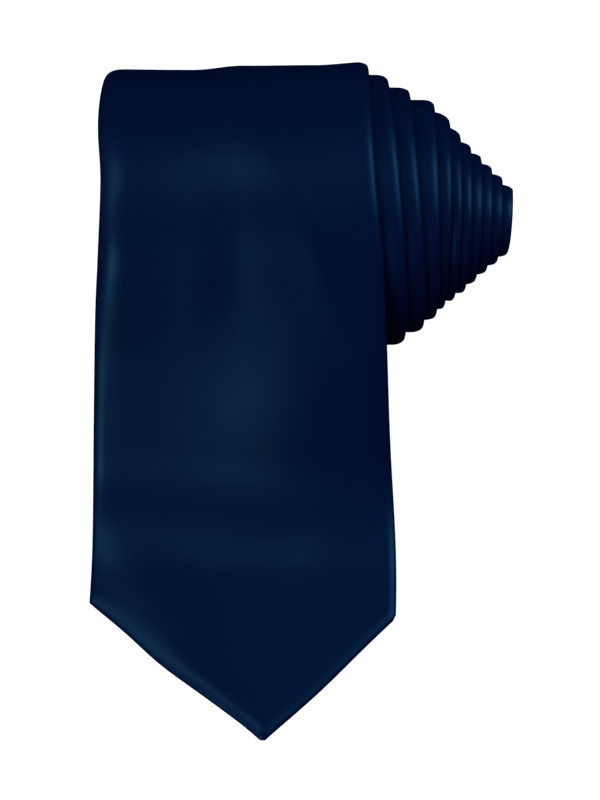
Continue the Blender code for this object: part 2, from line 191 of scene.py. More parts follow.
@dataclass(frozen=True)
class RolledLine:
    """The centre line of the tie from the blade's tip to the middle of the roll."""

    core_radius: float = 5.8 * MM
    turns: float = 10.7
    outer_pitch: float = 3.34 * MM
    core_pitch: float = 2.23 * MM
    wrap_gap: float = 0.35 * MM
    departure_angle: float = math.radians(54.0)
    flat_length: float = 42.4 * MM
    landing_radius: float = 36.0 * MM
    points_per_turn: int = 360
    free_steps: int = 40

    @property
    def thickness(self) -> float:
        """Thickness of the tie at the outside of the roll."""
        return self.outer_pitch - self.wrap_gap

    def outer_radius(self, turn: float) -> float:
        """Outer radius of the wrap that lies this many turns past the departure.

        Args:
            turn: turns past the departure.

        Returns:
            The radius of the outside of the tie there.
        """
        drop = (self.outer_pitch - self.core_pitch) / self.turns
        built_up = self.outer_pitch * turn - drop * turn**2 / 2
        whole = self.outer_pitch * self.turns - drop * self.turns**2 / 2
        innermost = self.thickness * self.core_pitch / self.outer_pitch
        return self.core_radius + innermost + whole - built_up

    def squeeze(self, turn: float) -> float:
        """Thickness of the tie there as a share of its thickness at the outside."""
        return 1 - (1 - self.core_pitch / self.outer_pitch) * max(turn, 0.0) / self.turns

    @cached_property
    def axis_height(self) -> float:
        """Height of the roll's axis above what the tie lies on."""
        return self.outer_radius((math.pi + self.departure_angle) / (2 * math.pi))

    @cached_property
    def table(self) -> np.ndarray:
        """Rows of (along, turn, y, z, normal y, normal z, squeeze), tip first.

        Returns:
            One row for each station of the centre line.
        """
        rows = []
        count = int(self.turns * self.points_per_turn)
        for i in range(count + 1):
            turn = self.turns * i / count
            angle = 2 * math.pi * turn - self.departure_angle
            radius = self.outer_radius(turn) - self.thickness / 2 * self.squeeze(turn)
            normal = (math.sin(angle), math.cos(angle))
            place = (radius * normal[0], self.axis_height + radius * normal[1])
            rows.append((0.0, turn, *place, *normal, self.squeeze(turn)))
        free = self.free_rows(rows[0][2], rows[0][3])
        table = np.array(free[::-1] + rows)
        steps = np.hypot(np.diff(table[:, 2]), np.diff(table[:, 3]))
        table[1:, 0] = np.cumsum(steps)
        return table

    def free_rows(self, start_y: float, start_z: float) -> list[tuple[float, ...]]:
        """The rows from the roll down the ramp, round the landing and out to the tip.

        Args:
            start_y: where the centre line leaves the roll.
            start_z: its height there.

        Returns:
            Rows as in the table, from the roll to the tip.
        """
        lying = self.thickness / 2
        slope = self.departure_angle
        drop = self.landing_radius * (1 - math.cos(slope))
        straight = (start_z - lying - drop) / math.sin(slope)
        rows = []
        steps = self.free_steps
        for i in range(1, steps + 1):
            way = straight * i / steps
            place = (start_y - way * math.cos(slope), start_z - way * math.sin(slope))
            rows.append((0.0, 0.0, *place, -math.sin(slope), math.cos(slope), 1.0))
        foot_y = rows[-1][2]
        centre_y = foot_y - self.landing_radius * math.sin(slope)
        for i in range(1, steps + 1):
            angle = slope * (1 - i / steps)
            y = centre_y + self.landing_radius * math.sin(angle)
            z = lying + self.landing_radius * (1 - math.cos(angle))
            rows.append((0.0, 0.0, y, z, -math.sin(angle), math.cos(angle), 1.0))
        rows.append((0.0, 0.0, centre_y - self.flat_length, lying, 0.0, 1.0, 1.0))
        return rows

    @cached_property
    def length(self) -> float:
        """Length of the whole tie."""
        return float(self.table[-1, 0])

    @cached_property
    def departure(self) -> float:
        """Distance from the tip to where the blade leaves the roll."""
        return float(self.table[np.flatnonzero(self.table[:, 1] > 0)[0] - 1, 0])

    @cached_property
    def stations(self) -> tuple[list[float], list[tuple[float, ...]]]:
        """The table as plain lists: each distance from the tip, and each whole row."""
        return self.table[:, 0].tolist(), [tuple(row) for row in self.table.tolist()]

    def at(self, along: float) -> tuple[float, ...]:
        """The table's row at any distance from the tip.

        Args:
            along: distance from the tip.

        Returns:
            The row, with each value read between its two neighbours.
        """
        places, rows = self.stations
        i = min(max(bisect_right(places, along), 1), len(places) - 1)
        share = min(max((along - places[i - 1]) / (places[i] - places[i - 1]), 0.0), 1.0)
        return tuple(a + (b - a) * share for a, b in zip(rows[i - 1], rows[i]))

    def along_at(self, turn: float) -> float:
        """Distance from the tip to the place this many turns past the departure."""
        wound = self.table[self.table[:, 0] >= self.departure - 1e-9]
        return float(np.interp(turn, wound[:, 1], wound[:, 0]))


@dataclass(frozen=True)
class Nip:
    """A gentle local change in the course of one long fold."""

    side: Side
    along: float
    reach_down: float
    reach_up: float
    shift: float

    def at(self, side: Side, along: float) -> float:
        """How far this nip moves a fold sideways at a distance from the tip.

        Args:
            side: the fold that is asked about.
            along: distance from the tip.

        Returns:
            The shift, to the right if positive.
        """
        if side is not self.side:
            return 0.0
        reach = self.reach_up if along > self.along else self.reach_down
        return self.shift * hill(along - self.along, reach)


@dataclass(frozen=True)
class Outline:
    """The flat outline of the tie: its widths, its two points and its way sideways."""

    line: RolledLine
    blade_width: float = 75.0 * MM
    neck_width: float = 32.0 * MM
    tail_width: float = 44.0 * MM
    blade_taper: float = 0.075
    taper_ease: float = 30.0 * MM
    tail_flare: float = 0.45
    left_shoulder: float = 36.6 * MM
    right_shoulder: float = 31.8 * MM
    tip_offset: float = 5.2 * MM
    tail_shoulder: float = 21.0 * MM
    blunt: float = 0.7 * MM
    blade_hem: float = 10.0 * MM
    tail_hem: float = 7.0 * MM
    blade_tack: float = 90.0 * MM
    tail_tack: float = 55.0 * MM
    slit: float = 0.5 * MM
    wide_step: float = 4.75 * MM
    wide_turns: float = 3.3
    narrow_step: float = 2.7 * MM
    sway: float = 3.4 * MM
    sway_phase: float = 0.817
    sway_turns: float = 4.0
    sway_fade: float = 2.2
    nips: tuple[Nip, ...] = (
        Nip(Side.LEFT, 147 * MM, 20 * MM, 11 * MM, 1.25 * MM),
        Nip(Side.RIGHT, 146 * MM, 30 * MM, 32 * MM, -1.2 * MM),
        Nip(Side.RIGHT, 50 * MM, 25 * MM, 25 * MM, 1.2 * MM),
        Nip(Side.LEFT, 48 * MM, 15 * MM, 15 * MM, 0.3 * MM),
    )
    point_nips: tuple[Nip, ...] = (
        Nip(Side.LEFT, 19.4 * MM, 7.3 * MM, 7.3 * MM, -1.4 * MM),
        Nip(Side.LEFT, 3.0 * MM, 4.8 * MM, 4.8 * MM, 0.6 * MM),
        Nip(Side.RIGHT, 13.0 * MM, 10.0 * MM, 10.0 * MM, 0.75 * MM),
    )

    def width(self, along: float) -> float:
        """Full width of the tie, leaving out its two points.

        Args:
            along: distance from the tip.

        Returns:
            The width.
        """
        above = max(along - max(self.left_shoulder, self.right_shoulder), 0.0)
        eased = math.hypot(above, self.taper_ease) - self.taper_ease
        flare_start = self.line.length - self.tail_shoulder - self.tail_flare
        flare = min(max((along - flare_start) / self.tail_flare, 0.0), 1.0)
        narrow = self.neck_width + (self.tail_width - self.neck_width) * flare
        return max(self.blade_width - self.blade_taper * eased, narrow)

    def swing(self, turn: float) -> float:
        """Sideways swing of a broad wrap from an even helix."""
        fade = min(max((self.sway_turns - turn) / self.sway_fade, 0.0), 1.0)
        return self.sway * fade * math.cos(2 * math.pi * (turn - self.sway_phase))

    def middle(self, along: float, turn: float) -> float:
        """Sideways place of the tie's centre line.

        Args:
            along: distance from the tip.
            turn: turns past the departure.

        Returns:
            The place, to the right if positive.
        """
        if along <= self.line.departure:
            return 0.0
        stepped = self.wide_step * min(turn, self.wide_turns)
        stepped += self.narrow_step * max(turn - self.wide_turns, 0.0)
        right_edge = self.width(self.line.departure) / 2 + stepped
        return right_edge + self.swing(turn) - self.swing(0.0) - self.width(along) / 2

    def edge_lines(self, side: Side, along: float, turn: float) -> list[tuple[float, float]]:
        """The straight folds near a place, as (sideways place, slope) of each.

        Args:
            side: which long fold.
            along: distance from the tip.
            turn: turns past the departure.

        Returns:
            The long fold first, then the edges of the blade's and the tail's point.
        """
        s = side.value
        middle = self.middle(along, turn)
        nipped = sum(nip.at(side, along) for nip in self.nips)
        lines = [(middle + s * self.width(along) / 2 + nipped, 0.0)]
        shoulder = self.right_shoulder if s > 0 else self.left_shoulder
        tail_middle = self.middle(self.line.length, self.line.turns)
        tips = (
            (self.tip_offset, s * self.blade_width / 2, shoulder, along),
            (
                tail_middle,
                tail_middle + s * self.tail_width / 2,
                self.tail_shoulder,
                self.line.length - along,
            ),
        )
        for tip_x, shoulder_x, reach, distance in tips:
            start = tip_x + s * self.blunt
            slope = (shoulder_x - start) / reach
            lines.append((start + slope * distance, slope))
        place, slope = lines[1]
        lines[1] = (place + sum(nip.at(side, along) for nip in self.point_nips), slope)
        return lines

    def edge(self, side: Side, along: float, turn: float, inset: float = 0.0) -> float:
        """Sideways place of a fold, drawn in by an inset.

        Args:
            side: which long fold.
            along: distance from the tip.
            turn: turns past the departure.
            inset: how far inside the fold.

        Returns:
            The sideways place.
        """
        places = [
            x - side.value * inset * math.hypot(1.0, slope)
            for x, slope in self.edge_lines(side, along, turn)
        ]
        return min(places) if side is Side.RIGHT else max(places)

    def depth(self, x: float, along: float, turn: float) -> float:
        """Distance from a point of the tie to its nearest fold or blunt end.

        Args:
            x: sideways place.
            along: distance from the tip.
            turn: turns past the departure.

        Returns:
            The distance, never below 0.
        """
        nearest = min(along, self.line.length - along)
        for side in Side:
            for place, slope in self.edge_lines(side, along, turn):
                nearest = min(nearest, side.value * (place - x) / math.hypot(1.0, slope))
        return max(nearest, 0.0)

    def opening(self, along: float) -> float:
        """Half width of the gap between the back folds, which opens towards each tip.

        Args:
            along: distance from the tip.

        Returns:
            Half the gap, never less than the slit.
        """
        gap = self.slit
        ends = (
            (along, self.blade_hem, self.blade_width, self.blade_tack, self.right_shoulder),
            (
                self.line.length - along,
                self.tail_hem,
                self.tail_width,
                self.tail_tack,
                self.tail_shoulder,
            ),
        )
        for distance, hem, width, tack, shoulder in ends:
            rise = (width / 2) / shoulder
            mitre = rise * distance - hem * math.hypot(1.0, rise)
            fall = (width / 2 - hem) * (tack - distance) / (tack - shoulder - hem)
            gap = max(gap, min(mitre, width / 2 - hem, fall))
        return gap


@dataclass(frozen=True)
class SoftFold:
    """A long soft wave in the cloth of the face, where it isn't pulled quite smooth."""

    x: float
    along: float
    lean: float
    length: float
    breadth: float
    height: float

    def rise(self, x: float, along: float) -> float:
        """How far this wave lifts the cloth at a point.

        Args:
            x: sideways place.
            along: distance from the tip.

        Returns:
            The rise.
        """
        dx, dy = x - self.x, along - self.along
        down = dy * math.cos(self.lean) + dx * math.sin(self.lean)
        across = dx * math.cos(self.lean) - dy * math.sin(self.lean)
        return self.height * hill(down, self.length) * hill(across, self.breadth)


@dataclass(frozen=True)
class Drape:
    """How the cloth lies: its soft waves, its lifted edge and how the roll has settled."""

    line: RolledLine
    folds: tuple[SoftFold, ...] = (
        SoftFold(-32 * MM, 142 * MM, 0.00, 32 * MM, 10 * MM, 1.6 * MM),
        SoftFold(4 * MM, 148 * MM, -0.28, 26 * MM, 10 * MM, 1.3 * MM),
        SoftFold(16 * MM, 134 * MM, -0.42, 26 * MM, 4.5 * MM, 0.7 * MM),
        SoftFold(13 * MM, 86 * MM, 0.15, 28 * MM, 18 * MM, 2.4 * MM),
        SoftFold(-21 * MM, 36 * MM, -0.55, 28 * MM, 8 * MM, 1.2 * MM),
        SoftFold(21 * MM, 44 * MM, 0.10, 22 * MM, 9 * MM, 0.8 * MM),
    )
    settled: tuple[tuple[float, float], ...] = (
        (-12 * MM, -1.4 * MM),
        (0 * MM, 0.0 * MM),
        (18 * MM, 0.3 * MM),
        (32 * MM, 1.4 * MM),
        (47 * MM, 1.4 * MM),
        (57 * MM, -1.3 * MM),
        (68 * MM, -1.9 * MM),
    )
    settling_reach: float = 28 * MM
    soft_edge: float = 5 * MM
    tip_lift: float = 0.7 * MM
    lift_middle: tuple[float, float] = (5.2 * MM, 14 * MM)
    lift_slope: float = 1.17
    lift_reach: tuple[float, float] = (9 * MM, 13 * MM)

    def lift(self, x: float, along: float, depth: float) -> float:
        """How far the face stands proud of its flat draft at a point."""
        waves = sum(fold.rise(x, along) for fold in self.folds)
        return waves * ease(depth / self.soft_edge)

    def settle(self, x: float, along: float) -> float:
        """How far the roll has settled backwards, at this place from its left to its right.

        Args:
            x: sideways place.
            along: distance from the tip.

        Returns:
            The way backwards, and forwards where it is negative.
        """
        share = ease(1 - (self.line.departure - along) / self.settling_reach)
        first, last = self.settled[0], self.settled[-1]
        if x <= first[0] or x >= last[0]:
            return share * (first if x <= first[0] else last)[1]
        for (low, before), (high, after) in zip(self.settled, self.settled[1:]):
            if x <= high:
                return share * (before + (after - before) * ease((x - low) / (high - low)))
        return 0.0

    def raised(self, x: float, along: float) -> float:
        """How far the whole thickness lifts off the surface, near the left of the tip.

        Args:
            x: sideways place.
            along: distance from the tip.

        Returns:
            The lift.
        """
        (start_x, middle), (across_reach, along_reach) = self.lift_middle, self.lift_reach
        across = (x - start_x) + along * self.lift_slope
        return self.tip_lift * hill(along - middle, along_reach) * hill(across, across_reach)


@dataclass(frozen=True)
class Pattern:
    """The tie's pattern: outline and rolled line together, set in the row's frame."""

    line: RolledLine
    outline: Outline
    drape: Drape
    shift: Vector

    @classmethod
    def over_frame(cls) -> "Pattern":
        """Sets the pattern over the frame, by the box of the blade's free end.

        Returns:
            The pattern.
        """
        line = RolledLine()
        low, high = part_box("blade_shell_end")
        tip = line.at(0.0)
        shift = Vector(((low.x + high.x) / 2, low.y - tip[2], 0.0))
        return cls(line, Outline(line), Drape(line), shift)

    @property
    def face(self) -> float:
        """Height of the face above the centre line."""
        return self.line.thickness / 2

    def lay(self, x: float, along: float, z: float) -> Vector:
        """Where a point of the flat draft comes to lie in the finished tie.

        Args:
            x: sideways place.
            along: distance from the tip.
            z: height above the centre line.

        Returns:
            The place in the frame.
        """
        along = min(max(along, 0.0), self.line.length)
        _, turn, y, height, normal_y, normal_z, squeeze = self.line.at(along)
        up = z * squeeze
        if along < self.line.departure:
            up += self.drape.raised(x, along)
        y += self.drape.settle(x, along)
        place = Vector((x, y + up * normal_y, height + up * normal_z))
        return place + self.shift


# ---------------------------------------------------------------- finishes


@dataclass(frozen=True)
class Satin:
    """Polyester satin, piece-dyed: long floats that give a deep, soft-edged lustre."""

    name: str
    colour: str
    lustre_colour: str
    roughness: float
    lustre: float
    thread_spacing: float = 0.35 * MM  # real threads lie 0.1 mm apart, too fine to show

    def material(self) -> bpy.types.Material:
        """Builds the satin: a dark body colour, a dyed lustre and faint bias threads.

        Returns:
            The material.
        """
        material, tree, shader = new_material(self.name)
        cloth = add_node(tree, "ShaderNodeUVMap", {"uv_map": "cloth"})
        bias = add_node(
            tree,
            "ShaderNodeMapping",
            values={"Rotation": (0.0, 0.0, math.radians(45))},
            links={"Vector": cloth.outputs["UV"]},
        )
        stretched = add_node(
            tree,
            "ShaderNodeMapping",
            values={"Scale": (1 / self.thread_spacing, 0.08 / self.thread_spacing, 1.0)},
            links={"Vector": bias.outputs["Vector"]},
        )
        threads = add_node(
            tree,
            "ShaderNodeTexNoise",
            {"noise_dimensions": "2D"},
            {"Scale": 1.0, "Detail": 1.0},
            {"Vector": stretched.outputs["Vector"]},
        )
        bump = add_node(
            tree,
            "ShaderNodeBump",
            values={"Strength": 0.10, "Distance": 0.05 * MM},
            links={"Height": threads.outputs["Fac"]},
        )
        shader.inputs["Base Color"].default_value = linear(self.colour)
        shader.inputs["Roughness"].default_value = self.roughness
        shader.inputs["Specular Tint"].default_value = linear(self.lustre_colour)
        shader.inputs["Specular IOR Level"].default_value = self.lustre
        tree.links.new(bump.outputs["Normal"], shader.inputs["Normal"])
        return material


@dataclass(frozen=True)
class Felt:
    """Brushed wool blend: a fibrous, matt cloth without any gloss."""

    name: str
    colour: str
    shade: str
    fibre: float = 0.6 * MM

    def material(self) -> bpy.types.Material:
        """Builds the felt: mottled wool with a fibrous bump.

        Returns:
            The material.
        """
        material, tree, shader = new_material(self.name)
        cloth = add_node(tree, "ShaderNodeUVMap", {"uv_map": "cloth"})
        fibres = add_node(
            tree,
            "ShaderNodeTexNoise",
            {"noise_dimensions": "2D"},
            {"Scale": 1 / self.fibre, "Detail": 4.0},
            {"Vector": cloth.outputs["UV"]},
        )
        mottle = add_node(
            tree,
            "ShaderNodeMix",
            {"data_type": "RGBA"},
            {"A": linear(self.colour), "B": linear(self.shade)},
            {"Factor": fibres.outputs["Fac"]},
        )
        bump = add_node(
            tree,
            "ShaderNodeBump",
            values={"Strength": 0.5, "Distance": 0.15 * MM},
            links={"Height": fibres.outputs["Fac"]},
        )
        tree.links.new(mottle.outputs["Result"], shader.inputs["Base Color"])
        tree.links.new(bump.outputs["Normal"], shader.inputs["Normal"])
        shader.inputs["Roughness"].default_value = 0.95
        shader.inputs["Sheen Weight"].default_value = 0.3
        return material


@dataclass(frozen=True)
class WovenTape:
    """Plain woven cloth: fine threads that cross square, as in lining or label tape."""

    name: str
    colour: str
    roughness: float
    thread_spacing: float = 0.4 * MM

    def material(self) -> bpy.types.Material:
        """Builds the weave from two crossing sets of threads.

        Returns:
            The material.
        """
        material, tree, shader = new_material(self.name)
        cloth = add_node(tree, "ShaderNodeUVMap", {"uv_map": "cloth"})
        heights = []
        for direction in ("X", "Y"):
            heights.append(
                add_node(
                    tree,
                    "ShaderNodeTexWave",
                    {"bands_direction": direction},
                    {"Scale": WAVE_PERIOD / self.thread_spacing, "Distortion": 0.3},
                    {"Vector": cloth.outputs["UV"]},
                )
            )
        weave = add_node(
            tree,
            "ShaderNodeMath",
            {"operation": "MAXIMUM"},
            links={0: heights[0].outputs["Fac"], 1: heights[1].outputs["Fac"]},
        )
        bump = add_node(
            tree,
            "ShaderNodeBump",
            values={"Strength": 0.35, "Distance": 0.06 * MM},
            links={"Height": weave.outputs["Value"]},
        )
        shader.inputs["Base Color"].default_value = linear(self.colour)
        shader.inputs["Roughness"].default_value = self.roughness
        shader.inputs["Specular IOR Level"].default_value = 0.2
        tree.links.new(bump.outputs["Normal"], shader.inputs["Normal"])
        return material


@dataclass(frozen=True)
class Thread:
    """Spun polyester thread: two plies twisted together, with a dull gleam."""

    name: str
    colour: str
    ply_length: float = 0.5 * MM

    def material(self) -> bpy.types.Material:
        """Builds the thread: its twist shows as slanting ridges.

        Returns:
            The material.
        """
        material, tree, shader = new_material(self.name)
        place = add_node(tree, "ShaderNodeTexCoord")
        twist = add_node(
            tree,
            "ShaderNodeTexWave",
            {"bands_direction": "DIAGONAL"},
            {"Scale": WAVE_PERIOD / self.ply_length},
            {"Vector": place.outputs["Object"]},
        )
        bump = add_node(
            tree,
            "ShaderNodeBump",
            values={"Strength": 0.4, "Distance": 0.05 * MM},
            links={"Height": twist.outputs["Fac"]},
        )
        shader.inputs["Base Color"].default_value = linear(self.colour)
        shader.inputs["Roughness"].default_value = 0.55
        tree.links.new(bump.outputs["Normal"], shader.inputs["Normal"])
        return material


NAVY_SATIN = Satin("navy_piece_dyed_satin", "031238", "75d6ff", 0.42, 0.36)
NAVY_LINING = WovenTape("navy_lining_cloth", "0a1c3c", 0.5)
WOOL = Felt("brushed_wool_interlining", "d9d2c2", "b5ab97")
NAVY_THREAD = Thread("navy_spun_thread", "0c2144")
LABEL_TAPE = WovenTape("white_label_tape", "e4e2da", 0.6)


class Wardrobe:
    """Keeps one material for each finish, so that pieces share it."""

    def __init__(self) -> None:
        """Starts with no material made."""
        self.made: dict[str, bpy.types.Material] = {}

    def dress(self, piece: bpy.types.Object, finish: object, slot: str) -> None:
        """Gives a piece its finish.

        Args:
            piece: the piece to dress.
            finish: one of the finishes above.
            slot: the material slot of the record; not used.
        """
        if finish.name not in self.made:
            self.made[finish.name] = finish.material()
        piece.data.materials.clear()
        piece.data.materials.append(self.made[finish.name])


# ---------------------------------------------------------------- making pieces


Place = Callable[[int, float], tuple[Vector, float, float]]
Course = Callable[[float], tuple[float, float, float]]
FIRST_TURN = 0.25  # a drawn circle's first point lies straight ahead, at +Y


def finish_mesh(name: str, draft: bmesh.types.BMesh) -> bpy.types.Object:
    """Turns a draft into an object at the origin, with its faces out and smooth.

    Args:
        name: name of the piece.
        draft: its shape, which is used up.

    Returns:
        The piece.
    """
    if draft.calc_volume(signed=True) < 0:
        bmesh.ops.reverse_faces(draft, faces=draft.faces)
    for face in draft.faces:
        face.smooth = True
    mesh = bpy.data.meshes.new(name)
    draft.to_mesh(mesh)
    draft.free()
    piece = bpy.data.objects.new(name, mesh)
    bpy.context.scene.collection.objects.link(piece)
    return piece


def sleeve(name: str, ring: int, rows: Sequence[float], place: Place) -> bpy.types.Object:
    """Draws a closed tube of cloth or thread and lays it row by row.

    Args:
        name: name of the piece.
        ring: number of points round the tube.
        rows: distance along the tie of each row.
        place: gives a point of the ring at a row: its place, and its cloth coordinates.

    Returns:
        The finished piece.
    """
    draft = bmesh.new()
    bmesh.ops.create_circle(draft, segments=ring, radius=1.0, cap_ends=False)
    lengthened = bmesh.ops.extrude_edge_only(draft, edges=draft.edges[:])
    far = [item for item in lengthened["geom"] if isinstance(item, bmesh.types.BMVert)]
    bmesh.ops.translate(draft, vec=(0.0, 0.0, 1.0), verts=far)
    lengthwise = [e for e in draft.edges if abs(e.verts[0].co.z - e.verts[1].co.z) > 0.5]
    bmesh.ops.subdivide_edges(draft, edges=lengthwise, cuts=len(rows) - 2, use_grid_fill=True)
    rims = [edge for edge in draft.edges if edge.is_boundary]
    sleeve_faces = set(draft.faces)
    bmesh.ops.holes_fill(draft, edges=rims, sides=0)
    for edge in rims:
        edge.smooth = False
    cloth = draft.loops.layers.uv.new("cloth")
    laid = {}
    for vertex in draft.verts:
        turn = math.atan2(vertex.co.y, vertex.co.x) / (2 * math.pi)
        spot = round((turn - FIRST_TURN) * ring) % ring
        row = round(vertex.co.z * (len(rows) - 1))
        laid[vertex] = place(spot, rows[row])
    for face in draft.faces:
        for loop in face.loops:
            loop[cloth].uv = laid[loop.vert][1:]
    for vertex, (where, _, _) in laid.items():
        vertex.co = where
    for face in draft.faces:
        if face not in sleeve_faces:
            face.smooth = False
    return finish_mesh(name, draft)


def rows_between(
    start: float, end: float, step: float, extra: Sequence[float] = ()
) -> list[float]:
    """Places for the rows of a piece: its ends, an even step, and each extra one.

    Args:
        start: first row.
        end: last row.
        step: widest step between rows.
        extra: places that need a row of their own.

    Returns:
        The rows, in order.
    """
    inner = (a for a in extra if start + CLOSEST_ROWS < a < end - CLOSEST_ROWS)
    stops = [start] + sorted(inner) + [end]
    rows = [start]
    for first, last in zip(stops, stops[1:]):
        count = max(1, math.ceil((last - first) / step))
        rows += [first + (last - first) * i / count for i in range(1, count + 1)]
    return rows


@dataclass(frozen=True)
class RingPoint:
    """One point of the folded satin's section.

    inset is the distance from the fold; where it is None the point lies at this share
    of the way from the rounding of the fold to the middle, or to the slit of the back.
    """

    side: Side
    layer: Layer
    inset: float | None
    share: float = 0.0
    slit_round: float = 0.0


@dataclass
class SatinPanel:
    """A panel of satin, folded to the back round the core and slit along its middle."""

    pattern: Pattern
    wardrobe: Wardrobe
    name: str
    start: float
    end: float
    diagonal_start: bool = False
    diagonal_end: bool = False
    fold_reach: float = 2.8 * MM
    cloth: float = 0.45 * MM
    row_step: float = 3.0 * MM
    face_points: int = 12
    seam_roll: float = 0.7 * MM
    shear_reach: float = 70.0 * MM
    corners: tuple[float, ...] = ()
    fold_angles: tuple[float, ...] = (75.0, 58.0, 42.0, 28.0, 14.0)
    back_points: int = 5
    inside_inset: float = 1.2 * MM
    thinnest: float = 0.05 * MM
    lip_back: float = 0.15 * MM
    seam_depth: float = 0.25  # share of the thickness that is left at a diagonal seam
    widest_round: float = 0.92  # most of the width that both rounded folds may take
    middle_margin: float = 0.45  # share of the width kept at each side of the middle
    widest_gap: float = 0.6  # most of half the back that the gap may take
    ring: list[RingPoint] = field(default_factory=list)

    def __post_init__(self) -> None:
        """Lays out the section's ring."""
        self.ring = self.half_ring(Side.RIGHT, False) + self.half_ring(Side.LEFT, True)

    def half_ring(self, side: Side, backwards: bool) -> list[RingPoint]:
        """The points of one half: face, fold, back, the slit's lip, and the inside.

        Args:
            side: which half of the section.
            backwards: whether the half is walked from its inside to its face.

        Returns:
            The half's points in order round the ring.
        """
        turns = [math.radians(angle) for angle in self.fold_angles]
        face_flat = [
            RingPoint(side, Layer.FACE, None, i / self.face_points)
            for i in range(self.face_points, -1, -1)
        ]
        if side is Side.LEFT:
            face_flat = face_flat[1:]
        rounds = [self.fold_reach * (1 - math.cos(a)) for a in turns]
        fold = [RingPoint(side, Layer.FACE, inset) for inset in rounds]
        fold += [RingPoint(side, Layer.FACE, 0.0)]
        fold += [RingPoint(side, Layer.BACK, inset) for inset in rounds[::-1]]
        back = [
            RingPoint(side, Layer.BACK, None, i / self.back_points)
            for i in range(self.back_points)
        ]
        lip = [
            RingPoint(side, Layer.BACK, None, 1.0, 0.0),
            RingPoint(side, Layer.BACK, None, 1.0, 0.25),
            RingPoint(side, Layer.BACK, None, 1.0, 0.75),
            RingPoint(side, Layer.INSIDE_BACK, None, 1.0, 0.0),
        ]
        inside = [
            RingPoint(side, Layer.INSIDE_BACK, None, 0.5),
            RingPoint(side, Layer.INSIDE_BACK, self.inside_inset),
            RingPoint(side, Layer.INSIDE_FACE, self.inside_inset),
            RingPoint(side, Layer.INSIDE_FACE, None, 0.5),
        ]
        half = face_flat + fold + back + lip + inside
        return half[::-1] if backwards else half

    def shear(self, row: float) -> float:
        """How far the row leans, from 0 for square across to 1 along a diagonal seam.

        Args:
            row: the row's distance from the tip at its middle.

        Returns:
            The lean.
        """
        lean = 0.0
        if self.diagonal_start:
            lean = max(lean, 1 - (row - self.start) / self.shear_reach)
        if self.diagonal_end:
            lean = max(lean, 1 - (self.end - row) / self.shear_reach)
        return ease(lean) if 0 < lean < 1 else max(lean, 0.0)

    def across(self, point: RingPoint, along: float, turn: float) -> float:
        """Sideways place of a ring point at a distance from the tip.

        Args:
            point: the ring point.
            along: distance from the tip.
            turn: turns past the departure.

        Returns:
            The sideways place.
        """
        outline = self.pattern.outline
        right = outline.edge(Side.RIGHT, along, turn)
        left = outline.edge(Side.LEFT, along, turn)
        right_in = outline.edge(Side.RIGHT, along, turn, self.fold_reach)
        left_in = outline.edge(Side.LEFT, along, turn, self.fold_reach)
        taken = (right - left) - (right_in - left_in)
        shrink = min(1.0, self.widest_round * (right - left) / taken)
        middle = outline.middle(along, turn)
        if along < outline.left_shoulder:
            middle = outline.tip_offset * (1 - along / outline.left_shoulder)
        inner = outline.edge(point.side, along, turn, self.fold_reach * shrink)
        margin = self.middle_margin * (right - left)
        middle = min(max(middle, left + margin), right - margin)
        if point.inset is not None:
            return outline.edge(point.side, along, turn, point.inset * shrink)
        if point.layer in (Layer.FACE, Layer.INSIDE_FACE):
            return inner + (middle - inner) * point.share
        gap = min(outline.opening(along), self.widest_gap * abs(inner - middle))
        lip = middle + point.side.value * gap
        if point.slit_round == 0.0 and point.share == 1.0:
            lip += point.side.value * self.lip_back
        return inner + (lip - inner) * point.share

    def fullness(self, depth: float) -> float:
        """Share of the full thickness at a distance from the nearest fold."""
        near = min(depth / self.fold_reach, 1.0)
        return math.sqrt(max(1 - (1 - near) ** 2, 0.0))

    def seam_dip(self, gap: float) -> float:
        """Share of the full thickness at a distance from a diagonal seam.

        Args:
            gap: the distance.

        Returns:
            The share, from the seam's own depth up to 1.
        """
        near = min(max(gap, 0.0) / self.seam_roll, 1.0)
        rounded = math.sqrt(max(1 - (1 - near) ** 2, 0.0))
        return self.seam_depth + (1 - self.seam_depth) * rounded

    def place(self, spot: int, row: float) -> tuple[Vector, float, float]:
        """The place and cloth coordinates of a ring point at a row.

        Args:
            spot: number of the ring point.
            row: the row's distance from the tip.

        Returns:
            The place, then the cloth coordinates across and along.
        """
        point = self.ring[spot]
        line = self.pattern.line
        outline = self.pattern.outline
        turn = line.at(row)[1]
        local = self.across(point, row, turn) - outline.middle(row, turn)
        along = min(max(row - local * self.shear(row), 0.0), line.length)
        turn = line.at(along)[1]
        x = self.across(point, along, turn)
        depth = outline.depth(x, along, turn)
        full = self.fullness(depth)
        if self.diagonal_start:
            full *= self.seam_dip(row - self.start)
        if self.diagonal_end:
            full *= self.seam_dip(self.end - row)
        half = self.pattern.face * full
        if point.layer is Layer.FACE:
            z = half + self.pattern.drape.lift(x, along, depth)
        elif point.layer is Layer.INSIDE_FACE:
            z = max(half - self.cloth, self.thinnest)
        elif point.layer is Layer.INSIDE_BACK:
            z = -max(half - self.cloth, self.thinnest)
        else:
            z = -half + min(self.cloth, half) * point.slit_round
        spread = x - outline.middle(along, turn)
        if point.layer in (Layer.BACK, Layer.INSIDE_BACK):
            spread = point.side.value * outline.width(along) - spread
        return self.pattern.lay(x, along, z), spread, along

    def make(self) -> bpy.types.Object:
        """Builds and dresses the panel.

        Returns:
            The panel.
        """
        rows = rows_between(self.start, self.end, self.row_step, self.corners)
        panel = sleeve(self.name, len(self.ring), rows, self.place)
        self.wardrobe.dress(panel, NAVY_SATIN, "navy_satin")
        return panel


